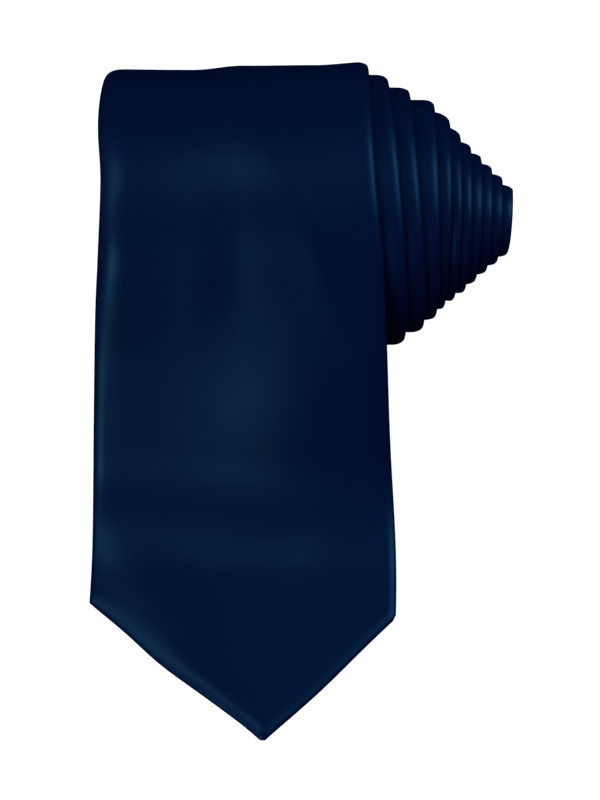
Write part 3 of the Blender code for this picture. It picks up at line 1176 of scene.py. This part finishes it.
@dataclass
class FlatPly:
    """A flat ply of cloth inside the folds, such as the core or the lining of a tip."""

    pattern: Pattern
    wardrobe: Wardrobe
    name: str
    start: float
    end: float
    low: Callable[[float], float]
    high: Callable[[float], float]
    inset: float = 1.2 * MM
    row_step: float = 3.0 * MM
    across_points: int = 9
    narrowest: float = 0.4 * MM
    corners: tuple[float, ...] = ()

    def place(self, spot: int, row: float) -> tuple[Vector, float, float]:
        """The place and cloth coordinates of a ring point at a row.

        Args:
            spot: number of the ring point.
            row: the row's distance from the tip.

        Returns:
            The place, then the cloth coordinates across and along.
        """
        outline = self.pattern.outline
        turn = self.pattern.line.at(row)[1]
        upper = spot < self.across_points
        step = spot if upper else 2 * self.across_points - 1 - spot
        left = outline.edge(Side.LEFT, row, turn, self.inset)
        right = outline.edge(Side.RIGHT, row, turn, self.inset)
        if right - left < self.narrowest:
            middle = (left + right) / 2
            left, right = middle - self.narrowest / 2, middle + self.narrowest / 2
        x = left + (right - left) * step / (self.across_points - 1)
        z = self.high(row) if upper else self.low(row)
        return self.pattern.lay(x, row, z), x, row

    def make(self, finish: object, slot: str) -> bpy.types.Object:
        """Builds the ply and dresses it in the given finish.

        Args:
            finish: one of the finishes.
            slot: the material slot of the record.

        Returns:
            The ply.
        """
        rows = rows_between(self.start, self.end, self.row_step, self.corners)
        ply = sleeve(self.name, 2 * self.across_points, rows, self.place)
        self.wardrobe.dress(ply, finish, slot)
        return ply


@dataclass
class ThreadRun:
    """A thread drawn through points of the flat draft."""

    pattern: Pattern
    wardrobe: Wardrobe
    name: str
    points: Course
    steps: int
    radius: float = 0.2 * MM
    sides: int = 6

    def place(self, spot: int, step: float) -> tuple[Vector, float, float]:
        """The place and cloth coordinates of a point of the thread's surface.

        Args:
            spot: number of the point round the thread.
            step: number of the step along it.

        Returns:
            The place, then the coordinates round and along the thread.
        """
        share = step / self.steps
        here = Vector(self.points(share))
        ahead = Vector(self.points(min(share + 0.5 / self.steps, 1.0)))
        behind = Vector(self.points(max(share - 0.5 / self.steps, 0.0)))
        course = (ahead - behind).normalized()
        sideways = course.cross(Vector((0.0, 0.0, 1.0))).normalized()
        upwards = sideways.cross(course)
        angle = 2 * math.pi * spot / self.sides
        offset = sideways * math.cos(angle) + upwards * math.sin(angle)
        point = here + offset * self.radius
        return self.pattern.lay(*point), angle * self.radius, share

    def make(self) -> bpy.types.Object:
        """Builds and dresses the thread.

        Returns:
            The thread.
        """
        thread = sleeve(self.name, self.sides, list(range(self.steps + 1)), self.place)
        self.wardrobe.dress(thread, NAVY_THREAD, "navy_thread")
        return thread


@dataclass
class StitchRow:
    """Separate stitches laid end to end or side by side on the cloth."""

    pattern: Pattern
    wardrobe: Wardrobe
    name: str
    places: Sequence[tuple[float, float, float]]
    length: float
    direction: tuple[float, float]
    radius: float = 0.16 * MM

    def make(self) -> bpy.types.Object:
        """Builds every stitch as a small pointed bead of thread and dresses the row.

        Returns:
            The row of stitches.
        """
        draft = bmesh.new()
        heading = math.atan2(self.direction[1], self.direction[0])
        turned = Matrix.Rotation(heading, 4, "Z")
        size = Matrix.Diagonal((self.length / 2, self.radius, self.radius, 1.0))
        for x, along, z in self.places:
            where = Matrix.Translation((x, along, z)) @ turned @ size
            bmesh.ops.create_uvsphere(draft, u_segments=6, v_segments=8, radius=1.0, matrix=where)
        for vertex in draft.verts:
            vertex.co = self.pattern.lay(*vertex.co)
        row = finish_mesh(self.name, draft)
        self.wardrobe.dress(row, NAVY_THREAD, "navy_thread")
        return row


def flattened(angle: float, end_power: float, side_power: float) -> tuple[float, float]:
    """A point of a circle pressed towards a flat strip with rounded edges.

    Args:
        angle: where the point lies on the circle.
        end_power: how square the strip's ends are, from 0 for square to 1 for round.
        side_power: the same for its flat sides.

    Returns:
        The point's place across the strip and through it, each from -1 to 1.
    """
    across = math.copysign(abs(math.cos(angle)) ** end_power, math.cos(angle))
    through = math.copysign(abs(math.sin(angle)) ** side_power, math.sin(angle))
    return across, through


# ---------------------------------------------------------------- sub-assemblies


@dataclass
class Bend:
    """The place where the blade leaves the roll and bends when it is lifted."""

    hinge: Vector
    down_ramp: Vector
    root_side: float = 3.0 * MM
    blade_side: float = 11.5 * MM

    @classmethod
    def of(cls, line: RolledLine) -> "Bend":
        """Finds the bend from the blade's joint.

        Args:
            line: the rolled centre line.

        Returns:
            The bend.
        """
        joint = next(j for j in frame["joints"] if j["name"] == "blade_lift")
        slope = line.departure_angle
        return cls(Vector(joint["pos_m"]), Vector((0.0, -math.cos(slope), -math.sin(slope))))

    def apply(self, piece: bpy.types.Object) -> None:
        """Bakes a piece's placement into its mesh, without setting it up to bend.

        Args:
            piece: the piece.
        """
        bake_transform(piece)


@dataclass
class Shell:
    """The satin outside of the tie: blade, neck and tail panels, and their seams."""

    pattern: Pattern
    wardrobe: Wardrobe
    bend: Bend
    first_seam: float = 700.0 * MM
    second_seam: float = 1060.0 * MM
    front_turns: float = 0.461
    seam_gap: float = 0.06 * MM
    seam_rows: tuple[float, ...] = (0.3 * MM, 0.6 * MM, 1.0 * MM)
    tip_rows: tuple[float, ...] = (0.3 * MM, 0.7 * MM, 1.3 * MM, 2.0 * MM, 14.0 * MM, 14.6 * MM)
    tail_rows: tuple[float, ...] = (0.4 * MM, 1.0 * MM, 2.0 * MM)
    cut_row: float = 0.2 * MM
    stitch_pitch: float = 1.6 * MM
    stitch_length: float = 2.0 * MM
    stitch_height: float = 0.45  # share of the height of the face

    @property
    def front_end(self) -> float:
        """Where the front of the blade panel meets its wound part, behind the roll."""
        return self.pattern.line.along_at(self.front_turns)

    def beside(self, seam: float, way: int) -> tuple[float, ...]:
        """The close rows that round a panel off at a seam, on the panel's side of it."""
        return tuple(seam + way * row for row in self.seam_rows)

    def make(self) -> list[bpy.types.Object]:
        """Builds the three panels and their two seams.

        Returns:
            The panels and the stitches of the seams.
        """
        outline, line = self.pattern.outline, self.pattern.line
        cut = self.front_end
        front = SatinPanel(
            self.pattern,
            self.wardrobe,
            "blade_panel_front",
            0.0,
            cut,
            face_points=16,
            row_step=2.0 * MM,
            fold_reach=3.0 * MM,
            corners=self.tip_rows
            + (
                outline.right_shoulder,
                outline.left_shoulder,
                outline.right_shoulder + outline.blade_hem,
                outline.blade_tack,
                line.departure,
                cut - self.cut_row,
            ),
        ).make()
        wound = SatinPanel(
            self.pattern,
            self.wardrobe,
            "blade_panel_wound",
            cut,
            self.first_seam - self.seam_gap,
            diagonal_end=True,
            face_points=16,
            fold_reach=3.0 * MM,
            corners=(cut + self.cut_row,) + self.beside(self.first_seam, -1),
        ).make()
        neck = SatinPanel(
            self.pattern,
            self.wardrobe,
            "neck_panel",
            self.first_seam + self.seam_gap,
            self.second_seam - self.seam_gap,
            diagonal_start=True,
            diagonal_end=True,
            face_points=8,
            corners=self.beside(self.first_seam, 1) + self.beside(self.second_seam, -1),
        ).make()
        tail = SatinPanel(
            self.pattern,
            self.wardrobe,
            "tail_panel",
            self.second_seam + self.seam_gap,
            line.length,
            diagonal_start=True,
            face_points=8,
            row_step=1.6 * MM,
            corners=self.beside(self.second_seam, 1)
            + (
                line.length - outline.tail_tack,
                line.length - outline.tail_shoulder - outline.tail_hem,
                line.length - outline.tail_shoulder,
            )
            + tuple(line.length - row for row in self.tail_rows),
        ).make()
        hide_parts("blade_shell_end")
        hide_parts("blade_shell_wound")
        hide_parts("neck_shell")
        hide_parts("tail_shell")
        self.bend.apply(front)
        for piece in (wound, neck, tail):
            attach(piece, Body.ROLL.value)
        seams = [
            self.seam("blade_neck_seam_stitches", self.first_seam, "blade_neck_seam"),
            self.seam("neck_tail_seam_stitches", self.second_seam, "neck_tail_seam"),
        ]
        return [front, wound, neck, tail] + seams

    def seam(self, name: str, along: float, node: str) -> bpy.types.Object:
        """The machine stitches at the bottom of a diagonal seam.

        Args:
            name: name of the stitches.
            along: the seam's distance from the tip.
            node: the node that they stand for.

        Returns:
            The stitches.
        """
        turn = self.pattern.line.at(along)[1]
        middle = self.pattern.outline.middle(along, turn)
        half = self.pattern.outline.width(along) / 2 - self.stitch_length
        count = int(2 * half / self.stitch_pitch)
        height = self.stitch_height * self.pattern.face
        places = []
        for i in range(count + 1):
            dx = -half + 2 * half * i / count
            places.append((middle + dx, along - dx, height))
        stitches = StitchRow(
            self.pattern,
            self.wardrobe,
            name,
            places,
            self.stitch_length,
            (1.0, -1.0),
            0.14 * MM,
        ).make()
        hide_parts(node)
        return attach(stitches, Body.ROLL.value)


@dataclass
class Core:
    """What lies inside the satin: the wool interlining and the lining of both tips."""

    pattern: Pattern
    wardrobe: Wardrobe
    bend: Bend
    front_end: float
    ply_gap: float = 0.3 * MM
    satin: float = 0.45 * MM
    lining: float = 0.35 * MM
    tipping_end: float = 113.0 * MM
    pinch: float = 3.2 * MM

    def top(self, _: float) -> float:
        """Upper face of the interlining."""
        return self.pattern.face - self.satin - self.ply_gap

    def bottom(self, along: float) -> float:
        """Lower face of the interlining, which is thinner where a lining lies behind it.

        Args:
            along: distance from the tip.

        Returns:
            Height above the centre line.
        """
        line, outline = self.pattern.line, self.pattern.outline
        thin = along <= line.departure
        thin = thin or along >= line.length - outline.tail_tack - self.ply_gap
        return 0.0 if thin else -self.top(along)

    def make(self) -> list[bpy.types.Object]:
        """Builds the interlining in its two parts and the two linings.

        Returns:
            The four plies.
        """
        line, outline = self.pattern.line, self.pattern.outline
        tail_start = line.length - outline.tail_tack
        front = FlatPly(
            self.pattern,
            self.wardrobe,
            "interlining_front",
            self.pinch,
            self.front_end,
            self.bottom,
            self.top,
            corners=(outline.right_shoulder, outline.left_shoulder, line.departure),
        ).make(WOOL, "wool_interlining")
        wound = FlatPly(
            self.pattern,
            self.wardrobe,
            "interlining_core_wound",
            self.front_end,
            line.length - self.pinch,
            self.bottom,
            self.top,
            corners=(
                tail_start - 2 * self.ply_gap,
                tail_start,
                line.length - outline.tail_shoulder,
            ),
        ).make(WOOL, "wool_interlining")
        blade_lining = FlatPly(
            self.pattern,
            self.wardrobe,
            "blade_tipping_lining",
            self.pinch,
            self.tipping_end,
            lambda _: -self.ply_gap - self.lining,
            lambda _: -self.ply_gap,
            row_step=1.5 * MM,
            across_points=25,
            corners=(outline.right_shoulder, outline.left_shoulder),
        ).make(NAVY_LINING, "navy_lining")
        tail_lining = FlatPly(
            self.pattern,
            self.wardrobe,
            "tail_tipping_lining",
            tail_start,
            line.length - self.pinch,
            lambda _: -self.ply_gap - self.lining,
            lambda _: -self.ply_gap,
            row_step=1.6 * MM,
            corners=(line.length - outline.tail_shoulder,),
        ).make(NAVY_LINING, "navy_lining")
        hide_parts("interlining_end")
        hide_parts("interlining_wound")
        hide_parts("blade_tipping")
        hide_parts("tail_tipping")
        self.bend.apply(front)
        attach(wound, Body.ROLL.value)
        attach(blade_lining, Body.BLADE.value)
        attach(tail_lining, Body.ROLL.value)
        return [front, wound, blade_lining, tail_lining]


@dataclass
class Needlework:
    """The hand stitches of the back: slip stitch, its slack loop and the bar tacks."""

    pattern: Pattern
    wardrobe: Wardrobe
    bend: Bend
    front_end: float
    stitch_pitch: float = 5.0 * MM
    tack_length: float = 6.0 * MM
    tack_width: float = 1.4 * MM
    tail_tack_length: float = 4.0 * MM
    tack_stitches: int = 6
    loop_radius: float = 3.5 * MM
    loop_waist: float = 0.35  # how wide the slack loop is at its top, as a share
    loop_start: float = 0.3 * MM
    thread_radius: float = 0.18 * MM
    stitch_swing: float = 0.45 * MM
    stitch_sunk: float = 0.22 * MM
    front_steps: int = 140
    wound_steps: int = 900

    def slip_course(self, start: float, end: float) -> Course:
        """The way of the slip stitch, from fold to fold in the slit of the back.

        Args:
            start: where the thread begins, from the blade's tip.
            end: where it ends.

        Returns:
            A function from a share of the way to a point of the flat draft.
        """

        def course(share: float) -> tuple[float, float, float]:
            """The point of the flat draft at a share of the thread's way.

            Args:
                share: from 0 where the thread begins to 1 where it ends.

            Returns:
                The point: across, along and through the tie.
            """
            along = start + (end - start) * share
            turn = self.pattern.line.at(along)[1]
            swing = math.sin(2 * math.pi * along / self.stitch_pitch)
            x = self.pattern.outline.middle(along, turn) + self.stitch_swing * swing
            return x, along, -self.pattern.face + self.stitch_sunk

        return course

    def make(self) -> list[bpy.types.Object]:
        """Builds every hand-sewn piece.

        Returns:
            The two parts of the slip stitch, its slack loop and the two tacks.
        """
        outline, line = self.pattern.outline, self.pattern.line
        first = outline.blade_tack + self.tack_width + self.loop_start
        last = line.length - outline.tail_tack - self.tack_length
        front = ThreadRun(
            self.pattern,
            self.wardrobe,
            "slip_stitch_front",
            self.slip_course(first, self.front_end),
            self.front_steps,
            self.thread_radius,
        ).make()
        wound = ThreadRun(
            self.pattern,
            self.wardrobe,
            "slip_stitch_in_roll",
            self.slip_course(self.front_end, last),
            self.wound_steps,
            self.thread_radius,
            sides=4,
        ).make()
        self.bend.apply(front)
        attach(wound, Body.ROLL.value)
        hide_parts("slip_stitch_end")
        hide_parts("slip_stitch_wound")
        return [front, wound, self.reserve_loop(), self.blade_tack(), self.tail_tack()]

    def reserve_loop(self) -> bpy.types.Object:
        """The slack end of the slip stitch, which lets the tie give when it is tied.

        Returns:
            The loop.
        """
        tack = self.pattern.outline.blade_tack
        reach = 2 * self.loop_radius + 2 * self.tack_width

        def course(share: float) -> tuple[float, float, float]:
            """The point of the flat draft at a share of the loop's way.

            Args:
                share: from 0 where the loop leaves the tack to 1 where it comes back.

            Returns:
                The point: across, along and through the tie.
            """
            angle = 2 * math.pi * share
            drop = (1 - math.cos(angle)) / 2
            spread = self.loop_waist + (1 - self.loop_waist) * drop
            x = self.loop_radius * math.sin(angle) * spread
            return x, tack - self.loop_start - reach * drop, -self.pattern.face + 0.2 * MM

        loop = ThreadRun(
            self.pattern, self.wardrobe, "slip_stitch_slack_loop", course, 48, 0.2 * MM, 8
        ).make()
        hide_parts("slip_stitch_reserve_loop")
        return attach(loop, Body.BLADE.value)

    def tack(self, name: str, along: float, node: str, body: Body) -> bpy.types.Object:
        """A bar tack: close stitches laid across the two folds of the back.

        Args:
            name: name of the piece.
            along: its nearer edge, from the blade's tip.
            node: the node that it stands for.
            body: the body that it rides on.

        Returns:
            The tack.
        """
        turn = self.pattern.line.at(along)[1]
        middle = self.pattern.outline.middle(along, turn)
        count = self.tack_stitches
        squeeze = self.pattern.line.squeeze(turn)
        sunk = 0.05 * MM if body is Body.BLADE else -0.15 * MM / squeeze
        places = [
            (middle, along + self.tack_width * (i + 0.5) / count, -self.pattern.face - sunk)
            for i in range(count)
        ]
        length = self.tack_length if body is Body.BLADE else self.tail_tack_length
        tack = StitchRow(
            self.pattern, self.wardrobe, name, places, length, (1.0, 0.0), 0.15 * MM
        ).make()
        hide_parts(node)
        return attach(tack, body.value)

    def blade_tack(self) -> bpy.types.Object:
        """The bar tack behind the blade."""
        along = self.pattern.outline.blade_tack
        return self.tack("blade_tack_stitches", along, "blade_bar_tack", Body.BLADE)

    def tail_tack(self) -> bpy.types.Object:
        """The bar tack behind the tail, deep in the roll."""
        along = self.pattern.line.length - self.pattern.outline.tail_tack - self.tack_length
        return self.tack("tail_tack_stitches", along, "tail_bar_tack", Body.ROLL)


@dataclass
class Keeper:
    """The keeper loop across the blade's back, which holds the tail."""

    pattern: Pattern
    wardrobe: Wardrobe
    low: float = 100.0 * MM
    height: float = 13.0 * MM
    width: float = 42.0 * MM
    end: float = 5.0 * MM
    bow: float = 0.9 * MM
    cloth: float = 0.7 * MM
    clear: float = 0.3 * MM
    ring: int = 20
    flatness: tuple[float, float] = (0.25, 0.7)  # the lower, the squarer the section
    row_step: float = 1.0 * MM
    stitch_count: int = 9
    stitch_margin: float = 0.8 * MM

    def strip_height(self, x: float) -> float:
        """How far the strip's upper face stands off the blade's back."""
        inside = self.width / 2 - self.end
        return self.bow * ease((inside - abs(x)) / (3 * self.bow))

    def place(self, spot: int, row: float) -> tuple[Vector, float, float]:
        """The place of a point of the strip's rounded section, at a place across the tie.

        Args:
            spot: number of the point of the section.
            row: place across the tie.

        Returns:
            The place, then the cloth coordinates.
        """
        flat, round_off = flattened(2 * math.pi * spot / self.ring, *self.flatness)
        along = self.low + self.height / 2 * (1 + flat)
        top = -self.pattern.face - self.clear - self.strip_height(row)
        z = top - self.cloth / 2 * (1 - round_off)
        return self.pattern.lay(row, along, z), row, along

    def make(self) -> list[bpy.types.Object]:
        """Builds the loop and the stitches of its two ends.

        Returns:
            The strip and its stitches.
        """
        half = self.width / 2
        extra = (-half + self.end, half - self.end, -half + 0.4 * MM, half - 0.4 * MM)
        rows = rows_between(-half, half, self.row_step, extra)
        loop = sleeve("keeper_loop_strip", self.ring, rows, self.place)
        self.wardrobe.dress(loop, NAVY_SATIN, "navy_satin")
        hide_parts("keeper_loop")
        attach(loop, Body.BLADE.value)
        return [loop, self.stitches(Side.LEFT), self.stitches(Side.RIGHT)]

    def stitches(self, side: Side) -> bpy.types.Object:
        """The row of small stitches that holds one end of the loop.

        Args:
            side: which end.

        Returns:
            The stitches.
        """
        x = side.value * (self.width / 2 - self.end / 2)
        z = -self.pattern.face - self.clear - self.cloth - 0.02 * MM
        step = (self.height - 2 * self.stitch_margin) / self.stitch_count
        first = self.low + self.stitch_margin
        places = [(x, first + step * (i + 0.5), z) for i in range(self.stitch_count)]
        name = f"keeper_{side.name.lower()}_stitches"
        row = StitchRow(
            self.pattern, self.wardrobe, name, places, 1.15 * MM, (0.35, 1.0), 0.15 * MM
        ).make()
        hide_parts(f"keeper_stitches_{side.name.lower()}")
        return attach(row, Body.BLADE.value)


@dataclass
class CareLabel:
    """The blank care label, sewn on along its upper edge only."""

    pattern: Pattern
    wardrobe: Wardrobe
    top: float = 97.5 * MM
    length: float = 24.0 * MM
    width: float = 14.0 * MM
    x: float = 12.0 * MM
    cloth: float = 0.3 * MM
    clear: float = 0.3 * MM
    curl: float = 0.5 * MM
    cupping: float = 0.12 * MM
    ring: int = 24
    flatness: tuple[float, float] = (0.3, 0.7)  # the lower, the squarer the section
    row_step: float = 1.5 * MM
    stitch_count: int = 10

    def place(self, spot: int, row: float) -> tuple[Vector, float, float]:
        """The place of a point of the tape's section, at a distance from the tip.

        Args:
            spot: number of the point of the section.
            row: distance from the tip.

        Returns:
            The place, then the cloth coordinates.
        """
        flat, round_off = flattened(2 * math.pi * spot / self.ring, *self.flatness)
        x = self.x + self.width / 2 * flat
        free = (self.top - row) / self.length
        away = self.curl * free**2 + self.cupping * free * (1 - flat * flat)
        z = -self.pattern.face - self.clear - away - self.cloth / 2 * (1 - round_off)
        return self.pattern.lay(x, row, z), x, row

    def make(self) -> list[bpy.types.Object]:
        """Builds the tape and the stitches of its upper edge.

        Returns:
            The tape and its stitches.
        """
        rows = rows_between(self.top - self.length, self.top, self.row_step)
        tape = sleeve("care_label_tape", self.ring, rows, self.place)
        self.wardrobe.dress(tape, LABEL_TAPE, "label_tape")
        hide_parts("care_label")
        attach(tape, Body.LABEL.value)
        step = self.width / self.stitch_count
        first = self.x - self.width / 2 + step / 2
        edge = self.top + 0.6 * MM
        z = -self.pattern.face - 0.12 * MM
        places = [(first + step * i, edge, z) for i in range(self.stitch_count)]
        row = StitchRow(
            self.pattern,
            self.wardrobe,
            "care_label_top_stitches",
            places,
            1.2 * MM,
            (1.0, 0.0),
            0.14 * MM,
        ).make()
        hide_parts("care_label_stitches")
        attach(row, Body.BLADE.value)
        return [tape, row]


# ---------------------------------------------------------------- studio


@dataclass(frozen=True)
class Softbox:
    """A flat lamp that shines from a place towards the tie."""

    name: str
    place: tuple[float, float, float]
    size: tuple[float, float]
    power: float
    colour: str = "ffffff"

    def switch_on(self, target: Vector) -> None:
        """Adds the lamp, turned towards its target.

        Args:
            target: what it shines at.
        """
        lamp = bpy.data.lights.new(self.name, "AREA")
        lamp.shape = "RECTANGLE"
        lamp.size, lamp.size_y = self.size
        lamp.energy = self.power
        lamp.color = linear(self.colour)[:3]
        stand = bpy.data.objects.new(self.name, lamp)
        stand.location = self.place
        stand.rotation_euler = (target - stand.location).to_track_quat("-Z", "Y").to_euler()
        bpy.context.scene.collection.objects.link(stand)


@dataclass(frozen=True)
class Studio:
    """A pale floor and wall, soft lamps and the camera."""

    azimuth: float = math.radians(-1.416)
    elevation: float = math.radians(60.0)
    distance: float = 0.6846
    scale: float = 4006.0  # how large a metre at the aim is drawn in the frame below
    roll: float = math.radians(1.387)
    image: tuple[int, int] = (600, 800)
    aim: tuple[float, float, float] = (-0.00075, 0.0007, 0.02)
    room_colour: str = "3898e6"  # a blue-walled room, mirrored where the satin turns away
    room_light: float = 0.18
    floor_reach: float = 3.0
    wall_radius: float = 2.9
    wall_height: float = 8.0
    cloth_drop: float = 0.2 * MM
    pale_grey: str = "a8a8a8"
    cloth_colour: str = "30404c"
    lamps: tuple[Softbox, ...] = (
        Softbox("upper_left_window", (-0.75, -0.05, 1.15), (0.5, 1.4), 5.5, "e0f0fa"),
        Softbox("lower_left_window", (-0.70, -1.20, 0.45), (0.6, 0.4), 5.6, "e0f0fa"),
        Softbox("right_window", (1.05, 0.20, 0.85), (0.8, 0.6), 8.0, "9fd4f5"),
    )

    def build(self) -> None:
        """Adds the floor and wall, the lamps, the surrounding light and the camera."""
        self.lay_floor()
        self.raise_backdrop()
        aim = Vector(self.aim)
        for lamp in self.lamps:
            lamp.switch_on(aim)
        world = bpy.data.worlds.new("studio")
        world.use_nodes = True
        background = world.node_tree.nodes["Background"]
        background.inputs["Color"].default_value = linear(self.room_colour)
        background.inputs["Strength"].default_value = self.room_light
        scene = bpy.context.scene
        scene.world = world
        scene.view_settings.view_transform = "Standard"
        self.set_up_camera(aim)

    def lay_floor(self) -> None:
        """A glowing white table top, and a dark blue cloth that is all the tie mirrors of it."""
        table = self.sheet_of_floor("table_top", self.pale_grey, 1.0, 0.0)
        table.visible_diffuse = False
        table.visible_glossy = False
        cloth = self.sheet_of_floor("table_cloth", self.cloth_colour, 0.0, -self.cloth_drop)
        cloth.visible_camera = False

    def raise_backdrop(self) -> None:
        """A pale round wall, far off, that only the camera sees."""
        draft = bmesh.new()
        bmesh.ops.create_cone(
            draft,
            segments=64,
            radius1=self.wall_radius,
            radius2=self.wall_radius,
            depth=self.wall_height,
        )
        wall = finish_mesh("backdrop", draft)
        wall.data.materials.append(self.glowing_material("backdrop", self.pale_grey, 1.0))
        wall.visible_diffuse = False
        wall.visible_glossy = False
        wall.visible_shadow = False
        wall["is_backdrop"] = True

    def glowing_material(self, name: str, colour: str, glow: float) -> bpy.types.Material:
        """A matt material that also shines by itself.

        Args:
            name: name of the material.
            colour: its colour.
            glow: how strongly it shines.

        Returns:
            The material.
        """
        material, _, shader = new_material(name)
        shader.inputs["Base Color"].default_value = linear(colour)
        shader.inputs["Roughness"].default_value = 0.9
        shader.inputs["Specular IOR Level"].default_value = 0.1
        shader.inputs["Emission Color"].default_value = (1.0, 1.0, 1.0, 1.0)
        shader.inputs["Emission Strength"].default_value = glow
        return material

    def sheet_of_floor(
        self, name: str, colour: str, glow: float, height: float
    ) -> bpy.types.Object:
        """One wide level sheet below the tie.

        Args:
            name: name of the sheet.
            colour: its colour.
            glow: how strongly it shines by itself.
            height: its height above what the tie lies on.

        Returns:
            The sheet.
        """
        draft = bmesh.new()
        bmesh.ops.create_grid(draft, x_segments=1, y_segments=1, size=self.floor_reach)
        sheet = finish_mesh(name, draft)
        sheet.location.z = height
        sheet.data.materials.append(self.glowing_material(name, colour, glow))
        sheet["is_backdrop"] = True
        return sheet

    def set_up_camera(self, aim: Vector) -> None:
        """The camera, looking at its aim from in front and above.

        Args:
            aim: what it looks at.
        """
        towards = Vector(
            (
                math.sin(self.azimuth) * math.cos(self.elevation),
                -math.cos(self.azimuth) * math.cos(self.elevation),
                math.sin(self.elevation),
            )
        )
        lens = bpy.data.cameras.new("camera")
        lens.sensor_fit = "VERTICAL"
        lens.sensor_height = 24.0
        lens.lens = lens.sensor_height * self.scale * self.distance / self.image[1]
        lens.clip_start = 0.01
        camera = bpy.data.objects.new("camera", lens)
        facing = (-towards).to_track_quat("-Z", "Y").to_matrix().to_4x4()
        spin = Matrix.Rotation(self.roll, 4, "Z")
        camera.matrix_world = Matrix.Translation(aim + towards * self.distance) @ facing @ spin
        bpy.context.scene.collection.objects.link(camera)
        bpy.context.scene.camera = camera


def main() -> None:
    """Makes the tie piece by piece, sets up the studio and reports each piece."""
    logging.basicConfig(level=logging.INFO, format="%(name)s: %(message)s")
    pattern = Pattern.over_frame()
    wardrobe = Wardrobe()
    bend = Bend.of(pattern.line)
    shell = Shell(pattern, wardrobe, bend)
    pieces = shell.make()
    pieces += Core(pattern, wardrobe, bend, shell.front_end).make()
    pieces += Needlework(pattern, wardrobe, bend, shell.front_end).make()
    pieces += Keeper(pattern, wardrobe).make()
    pieces += CareLabel(pattern, wardrobe).make()
    for piece in pieces:
        LOG.info("%s: %d faces", piece.name, len(piece.data.polygons))
    Studio().build()
    bounds = {"cad": CAD_BOUNDS, "visual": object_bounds()}
    plain = {name: [list(corner) for corner in box] for name, box in bounds.items()}


if __name__ == "__main__":
    main()
